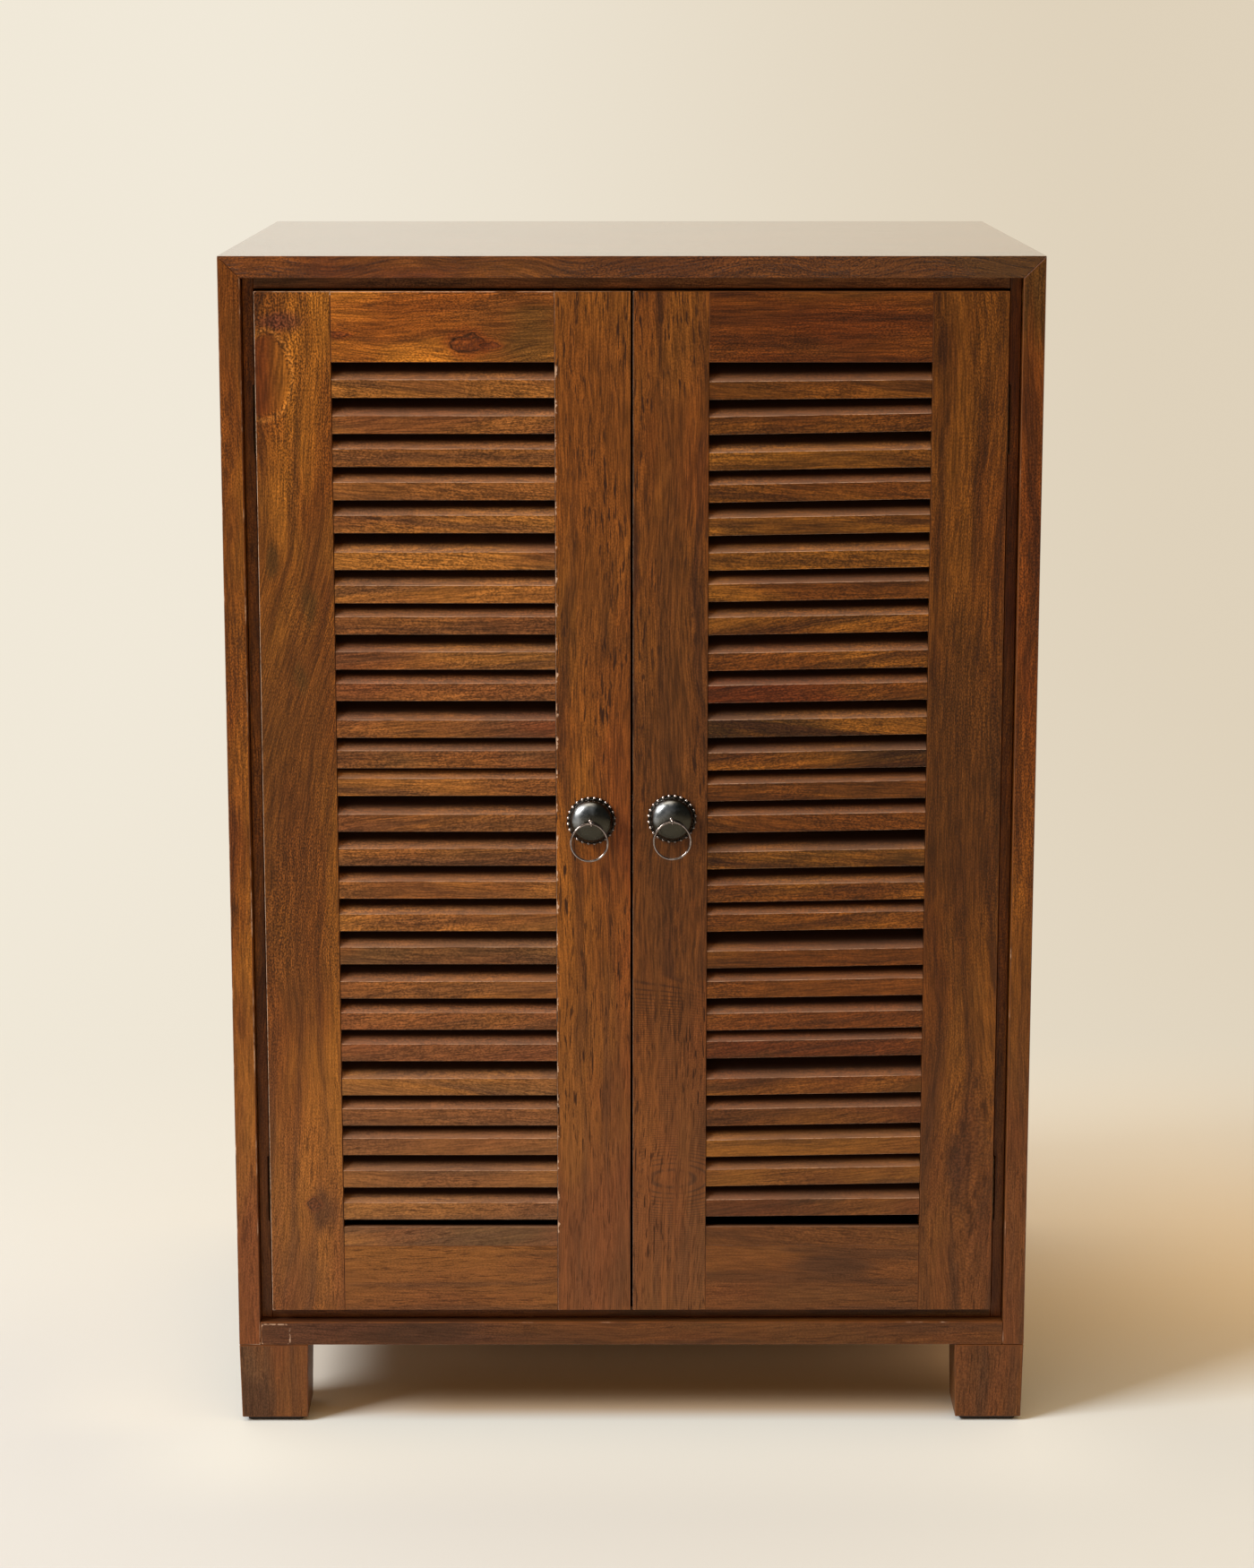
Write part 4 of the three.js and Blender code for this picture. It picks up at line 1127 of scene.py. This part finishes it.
def blackened_with_highlight(name):
    """Blackened metal, with a painted highlight where it faces up and to the left, towards the
    light.
    """
    graph = Graph(name)
    x, y, z = (
        graph.times(part, weight) for part, weight in zip(graph.split(graph.facing), METAL_HIGHLIGHT_FACING)
    )
    cloud = graph.grit(*BLACKENED_CLOUD)
    # Painted highlight: bright where the metal faces the light's highlight direction.
    towards_highlight = graph.add(graph.add(graph.add(x, y), z), graph.swing(cloud, METAL_HIGHLIGHT_RAGGED))
    dull, bright, reach = BLACKENED_AND_HIGHLIGHT
    tint = graph.mix(graph.fade(towards_highlight, *reach), dull, bright)
    rough = graph.fade(cloud, 0.35, 0.7, 0.26, 0.38)
    return graph.surface(
        Base_Color=tint, Metallic=1.0, Roughness=rough,
        Normal=graph.bump(cloud, METAL_RELIEF, 0.3),
    )


def bead_highlight_metal(name, centre):
    """Metal with a painted highlight on the parts up and left of the pull's centre, where the light
    falls, and dull on the others.
    """
    graph = Graph(name)
    rightwards = graph.times(graph.less(graph.x, centre.x), BEAD_HIGHLIGHT_LEAN)
    # Painted highlight on the beads and ball on the lit side of the pull.
    towards_highlight = graph.less(graph.less(graph.z, centre.z), rightwards)
    dull, bright, reach = BEAD_HIGHLIGHT
    tint = graph.mix(graph.fade(towards_highlight, *reach), dull, bright)
    rough = graph.fade(graph.grit(*BRIGHT_METAL_CLOUD), 0.3, 0.7, 0.2, 0.34)
    return graph.surface(Base_Color=tint, Metallic=1.0, Roughness=rough)


def build_pulls():
    black = blackened_with_highlight("blackened_highlit_metal")
    wire = metal("pull_wire", *PULL_WIRE)
    grime = metal("rim_grime", *RIM_GRIME)
    for word in ("left", "right"):
        bright = bead_highlight_metal(word + "_highlit_metal", pull_centre(word))
        for piece, body in (
            (rosette(word, black, bright, grime), "door"),
            (eye(word, wire, bright), "door"),
            (ring(word, wire), "ring"),
        ):
            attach(piece, f"{word}_{body}")


# Stage: a pale sweep, a soft key light from the upper left, and a camera
def sweep():
    """Floor and backdrop in one sheet, joined by a wide curve."""
    profile = [(SWEEP_FRONT, 0.0), (SWEEP_BACK - SWEEP_BEND, 0.0)]
    for step in range(1, SWEEP_STEPS + 1):
        turn = math.pi / 2 * step / SWEEP_STEPS
        profile.append((
            SWEEP_BACK - SWEEP_BEND + SWEEP_BEND * math.sin(turn),
            SWEEP_BEND - SWEEP_BEND * math.cos(turn),
        ))
    profile.append((SWEEP_BACK, SWEEP_HEIGHT))
    mesh = bmesh.new()
    rows = [[mesh.verts.new((x, y, z)) for x in (-SWEEP_REACH, SWEEP_REACH)] for y, z in profile]
    for row, following in zip(rows, rows[1:]):
        mesh.faces.new([row[0], row[1], following[1], following[0]])
    return new_piece("sweep", mesh, sweep_material())


def seen_rays(graph):
    """1 for camera, glossy and transmission rays, so that metal shows the backdrop as well."""
    path = graph.nodes.new("ShaderNodeLightPath")
    seen = graph.maths("MAXIMUM", path.outputs["Is Camera Ray"], path.outputs["Is Glossy Ray"])
    return graph.maths("MAXIMUM", seen, path.outputs["Is Transmission Ray"])


def floor_patch(graph, across, deep):
    return graph.times(graph.band(graph.x, *across), graph.band(graph.y, *deep))


def floor_colour(graph, side):
    """The floor near and far, with painted light in the cabinet's shadow on the far right, and its
    patches of painted light ahead of and beside the cabinet and of painted shade and light below
    it.
    """
    # Painted light: the far floor on the right is warmer and lighter where the cabinet's shadow
    # falls.
    deep = graph.fade(graph.y, *FAR_DEPTHS)
    deep = graph.times(deep, graph.fade(graph.x, *FAR_RIGHT_END, 1.0, 0.0))
    floor = graph.mix(deep, graph.mix(side, *NEAR_FLOOR), graph.mix(side, *FAR_FLOOR_AND_SHADOW_LIGHT))
    aside = graph.fade(graph.maths("ABSOLUTE", graph.x), *AHEAD_ASIDE, 1.0, 0.0)
    ahead = graph.times(aside, graph.band(graph.y, *AHEAD_DEPTHS))
    # Painted shade under the front of the cabinet, and painted bounce light further under it and on
    # its left.
    painted_below = graph.mix(graph.fade(graph.y, *BELOW_DEPTHS), *PAINTED_SHADE_AND_LIGHT_BELOW)
    painted_below = graph.mix(graph.fade(graph.x, *BELOW_LEFT_END), PAINTED_LIGHT_BELOW_LEFT, painted_below)
    # Painted light on the floor ahead of and beside the cabinet.
    floor = graph.mix(ahead, floor, PAINTED_LIGHT_AHEAD)
    floor = graph.mix(floor_patch(graph, *BESIDE), floor, PAINTED_LIGHT_BESIDE)
    return graph.mix(floor_patch(graph, *BELOW), floor, painted_below)


def sweep_material():
    """Paper that takes shadows near the cabinet, with painted light and shade laid on it there, and
    glows far behind it.
    """
    graph = Graph("sweep_paper")
    side = graph.fade(graph.x, *SIDE_REACH)
    diffuse = graph.nodes.new("ShaderNodeBsdfDiffuse")
    graph.feed(diffuse.inputs["Color"], floor_colour(graph, side))
    glow = graph.nodes.new("ShaderNodeEmission")
    graph.feed(glow.inputs["Color"], graph.mix(side, *BACKDROP))
    behind = graph.fade(graph.y, *BACKDROP_DEPTHS)
    blend = graph.nodes.new("ShaderNodeMixShader")
    graph.feed(blend.inputs[0], graph.times(seen_rays(graph), behind))
    graph.links.new(diffuse.outputs[0], blend.inputs[1])
    graph.links.new(glow.outputs[0], blend.inputs[2])
    output = graph.nodes.new("ShaderNodeOutputMaterial")
    graph.links.new(blend.outputs[0], output.inputs["Surface"])
    return graph.material


def area_light(name, place, target, size, power, colour):
    data = bpy.data.lights.new(name, "AREA")
    data.shape = "RECTANGLE"
    data.size, data.size_y = size
    data.energy = power
    data.color = colour
    lamp = bpy.data.objects.new(name, data)
    bpy.context.scene.collection.objects.link(lamp)
    lamp.location = place
    lamp.rotation_euler = (Vector(target) - Vector(place)).to_track_quat("-Z", "Y").to_euler()


def light_stage():
    area_light("key", *KEY_LAMP)
    area_light("overhead", *OVERHEAD_LAMP)
    bpy.context.scene.world = room()


def room():
    """The room's light: warm where it fills shadows, dim in gloss, and pale to the camera."""
    world = bpy.data.worlds.new("room")
    world.use_nodes = True
    nodes, links = world.node_tree.nodes, world.node_tree.links
    path = nodes.new("ShaderNodeLightPath")
    seen = nodes["Background"]
    seen.inputs["Color"].default_value = ROOM_LIGHT
    seen.inputs["Strength"].default_value = ROOM_STRENGTH
    for rays, colour in ROOM_SEEN.items():
        other = nodes.new("ShaderNodeBackground")
        other.inputs["Color"].default_value = colour
        other.inputs["Strength"].default_value = 1
        blend = nodes.new("ShaderNodeMixShader")
        links.new(path.outputs[rays], blend.inputs[0])
        links.new(seen.outputs[0], blend.inputs[1])
        links.new(other.outputs[0], blend.inputs[2])
        seen = blend
    links.new(seen.outputs[0], nodes["World Output"].inputs["Surface"])
    return world


def place_camera():
    data = bpy.data.cameras.new("camera")
    data.sensor_width = FILM_MM
    data.lens = LENS_MM
    camera = bpy.data.objects.new("camera", data)
    bpy.context.scene.collection.objects.link(camera)
    camera.location = CAMERA_PLACE
    camera.rotation_euler = (math.pi / 2 - CAMERA_DOWN, 0, -CAMERA_RIGHTWARDS)
    bpy.context.scene.camera = camera


place_camera()
dress_boards(CASE_GRAINS, BOARD_ROUND)
dress_boards(DOOR_GRAINS, JOINT_ROUND)
dress_slats()
dress_hardware()
build_pulls()
sweep()
light_stage()
bpy.context.scene.view_settings.view_transform = "Standard"
